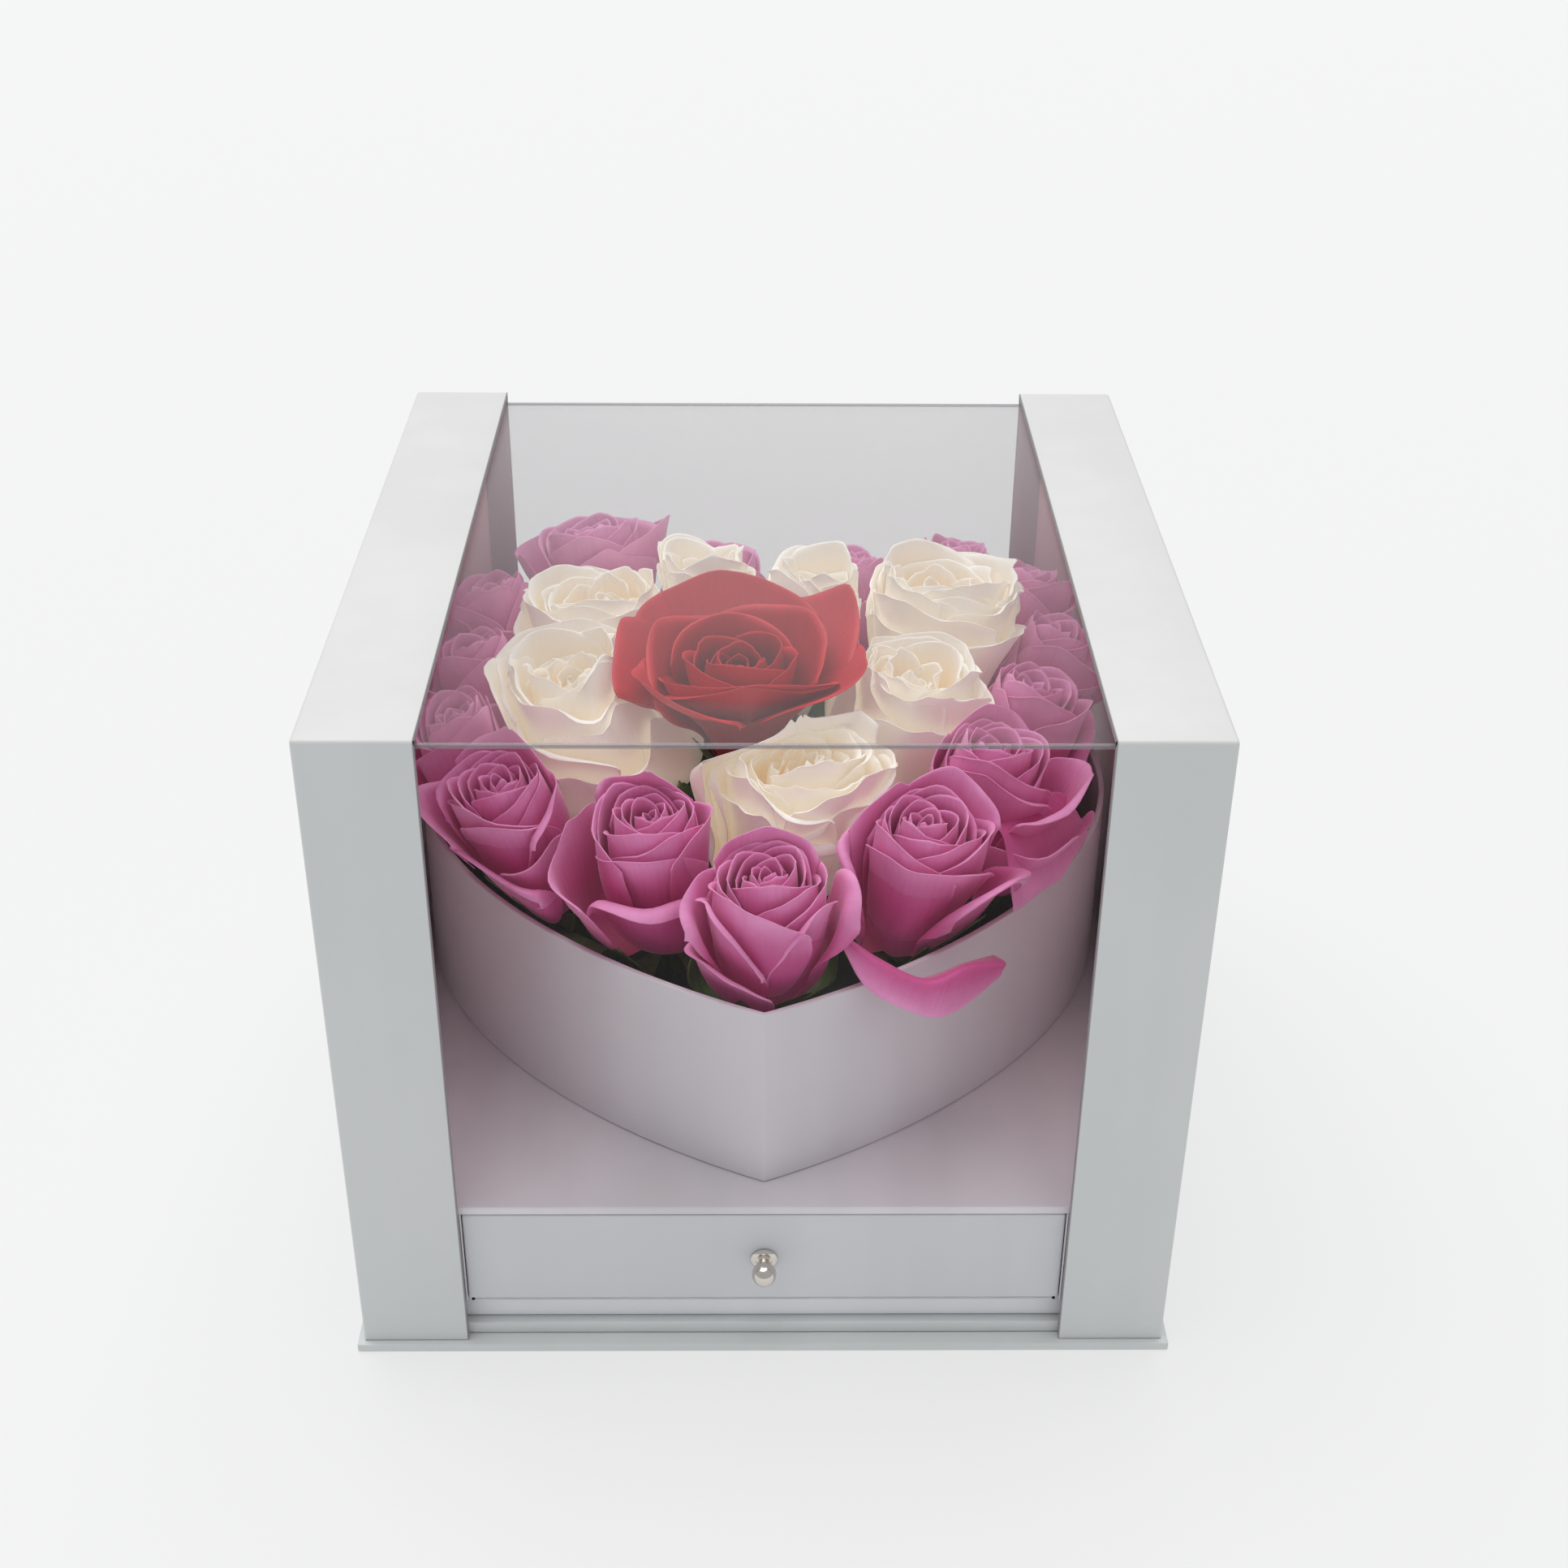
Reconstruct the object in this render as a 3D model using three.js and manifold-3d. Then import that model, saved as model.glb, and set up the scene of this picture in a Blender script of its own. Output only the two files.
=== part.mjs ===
// A rose gift box: a heart-shaped box of cut roses stands on a drawer chest, and a lift-off sleeve of
// white board with a clear window over its front, top and back covers both.
import * as THREE from "three";
import { mergeVertices } from "three/addons/utils/BufferGeometryUtils.js";
import Module from "manifold-3d";

const wasm = await Module();
wasm.setup();

// Driving sizes in millimetres. X runs to the right, Y to the back, Z up; the front faces -Y.
const FIT = 0.3;
const BOARD = 2.5;
const SUNK = 1;
const SLEEVE = { width: 250, depth: 252, height: 216.5, flange: 32.5 };
const BASE = { lip: 2, thick: 3 };
const LOCATING_BOARD = { thick: 4.3, play: 1 };
const PLINTH = { thick: 8.7, setback: 6 };
const CHEST = { bayHeight: 35.4, shelf: 3, bayHalfWidth: 92, play: 1, setback: 3 };
const DRAWER = { sideGap: 0.7, front: 3, wall: 2, trayHeight: 30, trayDepth: 230 };
const KNOB = { plate: 4.1, plateThick: 1.2, neck: 1.9, neckEnd: 3, ball: 3.75, reach: 10.7, sides: 12 };
const SCREW = { radius: 1.4, headRadius: 3.5, headThick: 1.5 };
const FILM = { thick: 0.6, halfWidth: 102 };
const HEART = { halfWidth: 117.5, tip: 14, widest: 155, lobeTop: 236, notch: 192, lobe: 60 };
const HEART_PULL = { tip: [61, 27], side: 61, shoulder: 45, top: 32, crest: 28, notch: [5, 28] };
const HEART_FACETS = 8;
const HEART_BOX = { height: 63.5, wall: 2, base: 2, foamTop: 36.2 };
const STEM = { radius: 2.2, hole: 2.7, depth: 24, sides: 5 };
const CALYX = { radius: 5.2, height: 6 };
const PETAL = { thick: 1, clearance: 0.5 };

// Heights that follow from the sizes.
const FRONT = -SLEEVE.depth / 2;
const BACK = SLEEVE.depth / 2;
const SLEEVE_FOOT = BASE.thick + FIT;
const SLEEVE_TOP = SLEEVE_FOOT + SLEEVE.height;
const INNER_SIDE = SLEEVE.width / 2 - BOARD;
const PLINTH_FOOT = SLEEVE_FOOT + LOCATING_BOARD.thick + FIT;
const PLINTH_TOP = PLINTH_FOOT + PLINTH.thick;
const CHEST_FOOT = PLINTH_TOP + FIT;
const SHELF_FOOT = CHEST_FOOT + CHEST.bayHeight;
const SHELF_TOP = SHELF_FOOT + CHEST.shelf;
const HEART_FOOT = SHELF_TOP + FIT;
const RIM = HEART_FOOT + HEART_BOX.height;
const FOAM_FOOT = HEART_FOOT + HEART_BOX.base + FIT;
const FOAM_TOP = HEART_FOOT + HEART_BOX.foamTop;

// The finishes.
const finish = (color, roughness, more = {}) =>
  new THREE.MeshStandardMaterial({ color, roughness, metalness: 0, ...more });
const WHITE_BOARD = finish(0xe4e6e6, 0.55);
const INNER_BOARD = finish(0xd8d2d6, 0.6);
const CLEAR_FILM = finish(0xf4f6f7, 0.1, { transparent: true, opacity: 0.25 });
const NICKEL = finish(0xb9b4a8, 0.2, { metalness: 1 });
const FOAM_GREEN = finish(0x2c3a2e, 0.95);
const LEAF_GREEN = finish(0x5d7a48, 0.6);
const PINK = finish(0xb75c96, 0.55);
const CREAM = finish(0xf0e2cf, 0.55);
const RED = finish(0xa01020, 0.6);

const group = new THREE.Group();

function add(name, material, geometry) {
  const mesh = new THREE.Mesh(geometry, material);
  mesh.name = name;
  group.add(mesh);
  return mesh;
}

// Joining and cutting. A closed geometry becomes a solid once its shared corners are merged.
const SAME_CORNER = 1e-4;
function solidOf(geometry, weld = SAME_CORNER) {
  const bare = new THREE.BufferGeometry();
  bare.setAttribute("position", geometry.getAttribute("position").clone());
  if (geometry.index) bare.setIndex(geometry.index.clone());
  const merged = mergeVertices(bare, weld);
  const corners = merged.index.array;
  const kept = [];
  for (let i = 0; i < corners.length; i += 3) {
    const [a, b, c] = [corners[i], corners[i + 1], corners[i + 2]];
    if (a !== b && b !== c && c !== a) kept.push(a, b, c);
  }
  const mesh = new wasm.Mesh({
    numProp: 3,
    vertProperties: new Float32Array(merged.attributes.position.array),
    triVerts: new Uint32Array(kept),
  });
  return new wasm.Manifold(mesh);
}

function geometryOf(solid) {
  const mesh = solid.getMesh();
  const geometry = new THREE.BufferGeometry();
  geometry.setAttribute("position", new THREE.BufferAttribute(mesh.vertProperties, 3));
  geometry.setIndex(new THREE.BufferAttribute(mesh.triVerts, 1));
  return geometry;
}

const join = (pieces) => pieces.map((piece) => solidOf(piece)).reduce((whole, piece) => whole.add(piece));
const cut = (whole, pieces) => pieces.reduce((rest, piece) => rest.subtract(solidOf(piece)), whole);

// The outer skin of a joined bloom. Pockets that its petals close off are filled.
const filled = (solid) =>
  solid.decompose().reduce((most, piece) => (piece.volume() > most.volume() ? piece : most));

// Crossing petals leave some corners a hair apart. They are drawn together, by the widest of these
// distances that leaves each edge of the skin between two faces.
const HAIRS = [0.02, 0.012, 0.006, 0.003];
function twoFacesAtEachEdge(geometry) {
  const corners = mergeVertices(geometry.clone(), SAME_CORNER).index.array;
  const faces = new Map();
  for (let i = 0; i < corners.length; i++) {
    const ends = [corners[i], corners[i % 3 === 2 ? i - 2 : i + 1]].sort((a, b) => a - b).join();
    faces.set(ends, (faces.get(ends) ?? 0) + 1);
  }
  return [...faces.values()].every((count) => count === 2);
}
function welded(solid) {
  const drawn = HAIRS.map((hair) => geometryOf(solidOf(geometryOf(solid), hair)));
  return drawn.find(twoFacesAtEachEdge) ?? geometryOf(solid);
}

// A box between two corners.
function block([x0, y0, z0], [x1, y1, z1]) {
  const geometry = new THREE.BoxGeometry(x1 - x0, y1 - y0, z1 - z0);
  return geometry.translate((x0 + x1) / 2, (y0 + y1) / 2, (z0 + z1) / 2);
}

// A flat outline raised from one height to another, with an outline left out of it.
function raised(outline, foot, top, hole) {
  const shape = new THREE.Shape(outline);
  if (hole) shape.holes.push(new THREE.Path(hole));
  const geometry = new THREE.ExtrudeGeometry(shape, { depth: top - foot, bevelEnabled: false });
  return geometry.translate(0, 0, foot);
}

// Base, locating board and plinth: wrapped boards that lie on each other.
const halfBase = SLEEVE.width / 2 + BASE.lip;
add(
  "base_board",
  WHITE_BOARD,
  block([-halfBase, FRONT - BASE.lip, 0], [halfBase, BACK + BASE.lip, BASE.thick]),
);
const locatingX = INNER_SIDE - LOCATING_BOARD.play;
const locatingY = BACK - CHEST.setback;
add(
  "locating_board",
  WHITE_BOARD,
  block([-locatingX, -locatingY, SLEEVE_FOOT], [locatingX, locatingY, PLINTH_FOOT - FIT]),
);
const plinthX = INNER_SIDE - PLINTH.setback;
const plinthY = BACK - PLINTH.setback;
add("plinth", WHITE_BOARD, block([-plinthX, -plinthY, PLINTH_FOOT], [plinthX, plinthY, PLINTH_TOP]));

// Drawer chest: a shelf on outer walls, the walls of the drawer bay, front fillets and a back.
const chestX = INNER_SIDE - CHEST.play;
const chestY = BACK - CHEST.setback;
const bayX = CHEST.bayHalfWidth;
const chestWall = (x0, y0, x1, y1) => block([x0, y0, CHEST_FOOT], [x1, y1, SHELF_FOOT + SUNK]);
const chestPieces = [
  block([-chestX, -chestY, SHELF_FOOT], [chestX, chestY, SHELF_TOP]),
  chestWall(-chestX, chestY - BOARD, chestX, chestY),
];
for (const [inner, outer] of [[-bayX, -chestX], [bayX, chestX]]) {
  const inward = -Math.sign(inner) * BOARD;
  const [low, high] = [Math.min(inner, outer), Math.max(inner, outer)];
  const bayWall = [inner, inner - inward].sort((a, b) => a - b);
  const outerWall = [outer, outer + inward].sort((a, b) => a - b);
  chestPieces.push(chestWall(bayWall[0], -chestY, bayWall[1], chestY));
  chestPieces.push(chestWall(outerWall[0], -chestY, outerWall[1], chestY));
  chestPieces.push(chestWall(low, -chestY, high, -chestY + BOARD));
}
add("drawer_chest", INNER_BOARD, geometryOf(join(chestPieces)));

// Drawer: a front panel and an open tray that runs on the plinth, with a hole for the knob's screw.
const drawerX = bayX - DRAWER.sideGap;
const drawerFront = -chestY;
const trayFront = drawerFront + DRAWER.front;
const trayBack = trayFront + DRAWER.trayDepth;
const drawerFoot = CHEST_FOOT;
const trayTop = drawerFoot + DRAWER.trayHeight;
const knobHeight = (CHEST_FOOT + SHELF_FOOT) / 2;
const drawerPieces = [
  block([-drawerX, drawerFront, drawerFoot], [drawerX, trayFront, SHELF_FOOT - FIT]),
  block([-drawerX, drawerFront, drawerFoot], [drawerX, trayBack, drawerFoot + DRAWER.wall]),
  block([-drawerX, drawerFront, drawerFoot], [DRAWER.wall - drawerX, trayBack, trayTop]),
  block([drawerX - DRAWER.wall, drawerFront, drawerFoot], [drawerX, trayBack, trayTop]),
  block([-drawerX, trayBack - DRAWER.wall, drawerFoot], [drawerX, trayBack, trayTop]),
];
const holeRadius = SCREW.radius + FIT;
const screwHole = new THREE.CylinderGeometry(holeRadius, holeRadius, 4 * DRAWER.front, KNOB.sides);
screwHole.translate(0, drawerFront, knobHeight);
add("drawer", INNER_BOARD, geometryOf(cut(join(drawerPieces), [screwHole])));

// Knob: plate, neck and ball turned in one, with its screw through the drawer front. Its outline
// runs from the screw's head, inside the drawer, out to the ball.
const headSeat = -DRAWER.front - FIT;
const knobSteps = [
  [0, headSeat - SCREW.headThick],
  [SCREW.headRadius, headSeat - SCREW.headThick],
  [SCREW.headRadius, headSeat],
  [SCREW.radius, headSeat],
  [SCREW.radius, FIT],
  [KNOB.plate, FIT],
  [KNOB.plate, FIT + 0.6 * KNOB.plateThick],
  [0.8 * KNOB.plate, FIT + KNOB.plateThick],
  [KNOB.neck, FIT + 1.2 * KNOB.plateThick],
  [KNOB.neck, FIT + KNOB.neckEnd],
];
const ballCentre = KNOB.reach - KNOB.ball;
const BALL_STEPS = 5;
const BALL_START = -0.95;
for (let i = 1; i <= BALL_STEPS; i++) {
  const angle = THREE.MathUtils.lerp(BALL_START, Math.PI / 2, i / BALL_STEPS);
  const radius = i === BALL_STEPS ? 0 : KNOB.ball * Math.cos(angle);
  knobSteps.push([radius, ballCentre + KNOB.ball * Math.sin(angle)]);
}
const knob = new THREE.LatheGeometry(
  knobSteps.map(([radius, out]) => new THREE.Vector2(radius, out)),
  KNOB.sides,
);
knob.rotateX(Math.PI);
knob.translate(0, drawerFront, knobHeight);
add("drawer_knob", NICKEL, geometryOf(solidOf(knob)));

// Sleeve: a folded board on each side, with flanges at the front, the top and the back.
for (const [name, side] of [["sleeve_left", -1], ["sleeve_right", 1]]) {
  const edge = (side * SLEEVE.width) / 2;
  const strip = (depth, [y0, z0], [y1, z1]) => {
    const [low, high] = [edge, edge - side * depth].sort((a, b) => a - b);
    return block([low, y0, z0], [high, y1, z1]);
  };
  const folded = join([
    strip(BOARD, [FRONT, SLEEVE_FOOT], [BACK, SLEEVE_TOP]),
    strip(SLEEVE.flange, [FRONT, SLEEVE_FOOT], [FRONT + BOARD, SLEEVE_TOP]),
    strip(SLEEVE.flange, [BACK - BOARD, SLEEVE_FOOT], [BACK, SLEEVE_TOP]),
    strip(SLEEVE.flange, [FRONT, SLEEVE_TOP - BOARD], [BACK, SLEEVE_TOP]),
  ]);
  add(name, WHITE_BOARD, geometryOf(folded));
}

// Window: one clear strip, creased at the top front and top back, glued inside the flanges.
const filmOut = BACK - BOARD - FIT;
const filmTop = SLEEVE_TOP - BOARD - FIT;
const filmFoot = HEART_FOOT;
const windowFilm = join([
  block([-FILM.halfWidth, -filmOut, filmFoot], [FILM.halfWidth, FILM.thick - filmOut, filmTop]),
  block([-FILM.halfWidth, filmOut - FILM.thick, filmFoot], [FILM.halfWidth, filmOut, filmTop]),
  block([-FILM.halfWidth, -filmOut, filmTop - FILM.thick], [FILM.halfWidth, filmOut, filmTop]),
]);
add("window_film", CLEAR_FILM, geometryOf(windowFilm));

// Heart outline, from the tip round one lobe to the notch and back round the other, and the same
// outline set in by a wall's thickness.
function heartOutline(inset) {
  const { halfWidth, lobe } = HEART;
  const [tip, widest, lobeTop, notch] = ["tip", "widest", "lobeTop", "notch"].map(
    (key) => FRONT + HEART[key],
  );
  const pull = HEART_PULL;
  const [tipX, tipY] = pull.tip;
  const [notchX, notchY] = pull.notch;
  const shape = new THREE.Shape();
  shape.moveTo(0, tip);
  shape.bezierCurveTo(tipX, tip + tipY, halfWidth, widest - pull.side, halfWidth, widest);
  shape.bezierCurveTo(halfWidth, widest + pull.shoulder, lobe + pull.top, lobeTop, lobe, lobeTop);
  shape.bezierCurveTo(lobe - pull.crest, lobeTop, notchX, notch + notchY, 0, notch);
  shape.bezierCurveTo(-notchX, notch + notchY, pull.crest - lobe, lobeTop, -lobe, lobeTop);
  shape.bezierCurveTo(-lobe - pull.top, lobeTop, -halfWidth, widest + pull.shoulder, -halfWidth, widest);
  shape.bezierCurveTo(-halfWidth, widest - pull.side, -tipX, tip + tipY, 0, tip);
  const points = shape.getPoints(HEART_FACETS).slice(0, -1);
  return points.map((point, i) => {
    const before = points[(i + points.length - 1) % points.length];
    const after = points[(i + 1) % points.length];
    const inOne = point.clone().sub(before).normalize();
    const outOf = after.clone().sub(point).normalize();
    const one = new THREE.Vector2(-inOne.y, inOne.x);
    const two = new THREE.Vector2(-outOf.y, outOf.x);
    const mitre = one.clone().add(two).multiplyScalar(inset / (1 + one.dot(two)));
    return point.clone().add(mitre);
  });
}

// Heart box: a wall bent round a base, and a block of floral foam with a hole for each stem.
const heartInside = heartOutline(HEART_BOX.wall);
add("heart_wall", INNER_BOARD, raised(heartOutline(0), HEART_FOOT, RIM, heartInside));
add(
  "heart_base",
  INNER_BOARD,
  raised(heartOutline(HEART_BOX.wall + FIT), HEART_FOOT, HEART_FOOT + HEART_BOX.base),
);

// The roses. Each row gives where the swirl at the bloom's heart lies, how far the bloom leans out
// from the middle of the box, in degrees, and how far its petals reach. Some rows also give how the
// bloom is turned round its stem, or how much it lies over its neighbours.
const rose = (x, y, z, lean, reach, more = {}) => ({ x, y, z, lean, reach, over: 0, ...more });
const PINK_ROSES = [
  rose(1, -90, 155, 10, 28),
  rose(49, -66, 158, 10, 30, { turn: 1.98 }),
  rose(72, -26, 161, 12, 30),
  rose(88, 15, 161, 16, 28),
  rose(99, 54, 161, 16, 27, { turn: 3.9 }),
  rose(95, 90, 164, 18, 28),
  rose(71, 100, 169, 16, 28),
  rose(30, 95, 168, 14, 28),
  rose(-18, 94, 169, 14, 28),
  rose(-63, 96, 178, 16, 31),
  rose(-96, 79, 164, 18, 28),
  rose(-98, 38, 162, 16, 28, { turn: 2.3 }),
  rose(-99, -5, 161, 14, 28),
  rose(-82, -46, 160, 12, 30, { turn: 0.2 }),
  rose(-35, -62, 159, 10, 30, { turn: 1.13 }),
];
const CREAM_ROSES = [
  rose(12, -33, 164, 6, 39),
  rose(49, 8, 172, 5, 41),
  rose(61, 57, 180, 5, 46),
  rose(20, 61, 179, 3, 34),
  rose(-23, 66, 181, 3, 34),
  rose(-54, 57, 176, 6, 45),
  rose(-61, 8, 172, 6, 43),
];
const RED_ROSES = [rose(-8, 3, 184, 0, 55, { over: 30 })];

// A ring of petals: how many there are, half the angle that each spans, the corners of the curve
// from root to lip as shares of the bloom's reach and height, and the faces along it.
const ring = (count, half, curve, along) => ({ count, half, curve, along });
const TIGHT = [[0.26, 0.5], [0.4, 0.7], [0.36, 0.9], [0.3, 1]];
const CUPPED = [[0.42, 0.24], [0.72, 0.36], [0.6, 0.8], [0.66, 0.96]];
const OPEN = [[0.3, 0.08], [1.0, 0.04], [0.86, 0.78], [1.04, 0.78]];
const SPREAD = [[0.3, 0.14], [0.8, 0.12], [0.98, 0.82], [1.12, 0.74]];
const PINK_BLOOM = {
  height: 56,
  rings: [ring(2, 1.35, TIGHT, 2), ring(3, 1.12, CUPPED, 2), ring(3, 1.15, OPEN, 2)],
};
const CREAM_BLOOM = {
  height: 56,
  rings: [ring(3, 1.1, TIGHT, 2), ring(3, 1.12, CUPPED, 2), ring(4, 0.92, OPEN, 2)],
};
const RED_BLOOM = {
  height: 60,
  rings: [
    ring(3, 1.1, TIGHT, 2),
    ring(3, 1.12, CUPPED, 2),
    ring(5, 0.8, SPREAD, 3),
  ],
};
const HEART_MIDDLE = new THREE.Vector3(0, -1, 0);
const GOLDEN_TURN = 2.4;

// How far up a bloom its swirl and its middle lie, as shares of its height.
const SWIRL_HEIGHT = 0.95;
const MIDDLE_HEIGHT = 0.75;

// Sets a rose up: the line of its stem, two directions across it, and the planes that hem it in.
function planted(row, bloom, index) {
  const swirl = new THREE.Vector3(row.x, row.y, row.z);
  const outward = new THREE.Vector3(row.x, row.y, 0).sub(HEART_MIDDLE).normalize();
  const lean = THREE.MathUtils.degToRad(row.lean);
  const axis = outward.multiplyScalar(Math.sin(lean)).setZ(Math.cos(lean));
  const root = swirl.clone().addScaledVector(axis, -SWIRL_HEIGHT * bloom.height);
  const right = new THREE.Vector3(0, 1, 0).cross(axis).normalize();
  const ahead = axis.clone().cross(right);
  const middle = root.clone().addScaledVector(axis, MIDDLE_HEIGHT * bloom.height);
  const turn = row.turn ?? GOLDEN_TURN * index;
  return { ...row, bloom, axis, root, right, ahead, middle, turn, planes: [] };
}

const roses = [
  ...PINK_ROSES.map((row) => ({ row, bloom: PINK_BLOOM })),
  ...CREAM_ROSES.map((row) => ({ row, bloom: CREAM_BLOOM })),
  ...RED_ROSES.map((row) => ({ row, bloom: RED_BLOOM })),
].map(({ row, bloom }, index) => planted(row, bloom, index));
const pinks = roses.slice(0, PINK_ROSES.length);
const creams = roses.slice(pinks.length, pinks.length + CREAM_ROSES.length);
const reds = roses.slice(pinks.length + creams.length);

// A bloom keeps to its own side of a plane. Pressed blooms share the room by their reach, squared.
// Near the box wall a bloom stays inside the rim and may widen above it by this slope.
const RIM_SLOPE = 0.8;
const RIM_REACH = 60;
const margin = PETAL.thick / 2 + PETAL.clearance;
const plane = (normal, point) => ({ normal, offset: normal.dot(point) - margin });
const filmIn = filmOut - FILM.thick;
for (const one of roses) {
  for (const other of roses) {
    if (one === other) continue;
    const share = one.reach ** 2 / (one.reach ** 2 + other.reach ** 2);
    const point = one.middle.clone().lerp(other.middle, share);
    const normal = other.middle.clone().sub(one.middle);
    normal.z += other.over - one.over;
    one.planes.push(plane(normal.normalize(), point));
  }
  for (const side of [-1, 1]) {
    one.planes.push(plane(new THREE.Vector3(side, 0, 0), new THREE.Vector3(side * INNER_SIDE, 0, 0)));
    one.planes.push(plane(new THREE.Vector3(0, side, 0), new THREE.Vector3(0, side * filmIn, 0)));
  }
  heartInside.forEach((point, i) => {
    const next = heartInside[(i + 1) % heartInside.length];
    const along = next.clone().sub(point).normalize();
    const near = Math.hypot(point.x - one.root.x, point.y - one.root.y) < RIM_REACH;
    const sameLobe = point.y < FRONT + HEART.widest || (point.x + next.x) * one.root.x >= 0;
    if (!near || !sameLobe) return;
    const normal = new THREE.Vector3(along.y, -along.x, -RIM_SLOPE).normalize();
    one.planes.push(plane(normal, new THREE.Vector3(point.x, point.y, RIM)));
  });
}

// The furthest that any petal reaches at a height up the bloom, where nothing presses on it: half of
// the lips' reach at the root, and all of it from half the bloom's height up.
const LIP_REACH = 1.12;
function freeReach(one, height) {
  const share = THREE.MathUtils.smoothstep(height / one.bloom.height, 0, 0.5);
  return LIP_REACH * one.reach * (0.5 + 0.5 * share);
}

// Turns a place in a bloom, given by its angle, its radius and its height up the stem line, into a
// place in the box. The bloom is pressed in towards its stem line where its planes need it.
const SOFTNESS = 12;
const LEAST_ROOM = 2;
function pressed(one, angle, radius, height) {
  const foot = one.root.clone().addScaledVector(one.axis, height);
  const across = one.right
    .clone()
    .multiplyScalar(Math.cos(angle))
    .addScaledVector(one.ahead, Math.sin(angle));
  const free = freeReach(one, height);
  let crowding = 1;
  for (const { normal, offset } of one.planes) {
    const towards = normal.dot(across);
    if (towards < 1e-3) continue;
    const room = Math.max(LEAST_ROOM, offset - normal.dot(foot)) / towards;
    crowding += (free / room) ** SOFTNESS;
  }
  const share = crowding ** (-1 / SOFTNESS);
  return foot.addScaledVector(across, Math.min(radius, free) * share);
}

// A thin blade on both sides of a surface, with the same triangles on its two faces. It has its full
// thickness across its lip and runs out to an edge along its sides and its hidden root.
function blade(surface, across, along) {
  const step = 1e-3;
  const faces = [[], []];
  for (let j = 0; j <= along; j++) {
    for (let i = 0; i <= across; i++) {
      const [u, v] = [-1 + (2 * i) / across, (j / along) ** 0.8];
      const point = surface(u, v);
      const du = surface(u + step, v).sub(surface(u - step, v));
      const dv = surface(u, v + step).sub(surface(u, v - step));
      const sharp = i === 0 || i === across || j === 0;
      const normal = du.cross(dv).setLength(sharp ? 0 : PETAL.thick / 2);
      faces[0].push(...point.clone().add(normal).toArray());
      faces[1].push(...point.clone().sub(normal).toArray());
    }
  }
  const count = (across + 1) * (along + 1);
  const at = (i, j) => j * (across + 1) + i;
  const index = [];
  for (let j = 0; j < along; j++) {
    for (let i = 0; i < across; i++) {
      const [a, b, c, d] = [at(i, j), at(i + 1, j), at(i + 1, j + 1), at(i, j + 1)];
      index.push(a, b, c, a, c, d);
      index.push(a + count, c + count, b + count, a + count, d + count, c + count);
    }
  }
  for (let i = 0; i < across; i++) {
    const [p, q] = [at(i + 1, along), at(i, along)];
    index.push(q, p, p + count, q, p + count, q + count);
  }
  const geometry = new THREE.BufferGeometry();
  geometry.setAttribute("position", new THREE.Float32BufferAttribute([...faces[0], ...faces[1]], 3));
  geometry.setIndex(index);
  return geometry;
}

// A petal springs from the bloom's root, broadens, and rounds off at its lip. One edge lies outside
// the next petal and the other inside the last, as rose petals wrap.
const WRAP = 0.11;
const LIP_ROUNDING = 0.14;
const PETAL_FACES = 3;
const widthShare = (v) => 0.5 + 0.5 * Math.sin(Math.PI * Math.min(0.62, 0.1 + 0.6 * v));
function petal(one, layer, turn) {
  const [p0, p1, p2, p3] = layer.curve.map(([out, up]) => new THREE.Vector2(out, up));
  const curve = new THREE.CubicBezierCurve(p0, p1, p2, p3);
  return blade(
    (u, v) => {
      const point = curve.getPoint(v);
      const rounded = 1 - LIP_ROUNDING * u * u * v;
      const radius = one.reach * point.x * (1 + WRAP * u);
      const height = one.bloom.height * point.y * rounded;
      return pressed(one, turn + layer.half * widthShare(v) * u, radius, height);
    },
    PETAL_FACES,
    layer.along,
  );
}

// The bud in the middle, and the receptacle under it that all the petals spring from.
const BUD = [[0, 0], [0.18, 0], [0.52, 0.16], [0.54, 0.42], [0.36, 0.76], [0, 0.86]];
const BUD_SIDES = 6;
function bud(one) {
  const profile = BUD.map(([out, up]) => new THREE.Vector2(out * one.reach, up * one.bloom.height));
  const geometry = new THREE.LatheGeometry(profile, BUD_SIDES);
  geometry.rotateX(Math.PI / 2);
  const place = geometry.getAttribute("position");
  for (let i = 0; i < place.count; i++) {
    const angle = Math.atan2(place.getY(i), place.getX(i));
    const radius = Math.hypot(place.getX(i), place.getY(i));
    const point = pressed(one, angle, radius, place.getZ(i));
    place.setXYZ(i, point.x, point.y, point.z);
  }
  return geometry;
}

// A bloom: its bud and its rings of petals, each ring turned on from the last.
const RING_TURN = 1.9;
function bloomOf(one, strays = []) {
  const pieces = [bud(one), ...strays];
  one.bloom.rings.forEach((layer, level) => {
    for (let i = 0; i < layer.count; i++) {
      const turn = one.turn + RING_TURN * level + (2 * Math.PI * i) / layer.count;
      pieces.push(petal(one, layer, turn));
    }
  });
  return welded(filled(join(pieces)));
}

// A loose petal laid through nine places: three from edge to edge at its root, three across its
// middle and three along its lip.
const through = (a, b, c, t) => {
  const point = a.clone().multiplyScalar(0.5 * t * (t - 1));
  point.addScaledVector(b, 1 - t * t);
  return point.addScaledVector(c, 0.5 * t * (t + 1));
};
function loosePetal(places) {
  const [root, middle, lip] = places.map((row) => row.map((place) => new THREE.Vector3(...place)));
  return blade(
    (u, v) =>
      through(through(...root, u), through(...middle, u), through(...lip, u), 2 * v - 1),
    3,
    4,
  );
}

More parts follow.
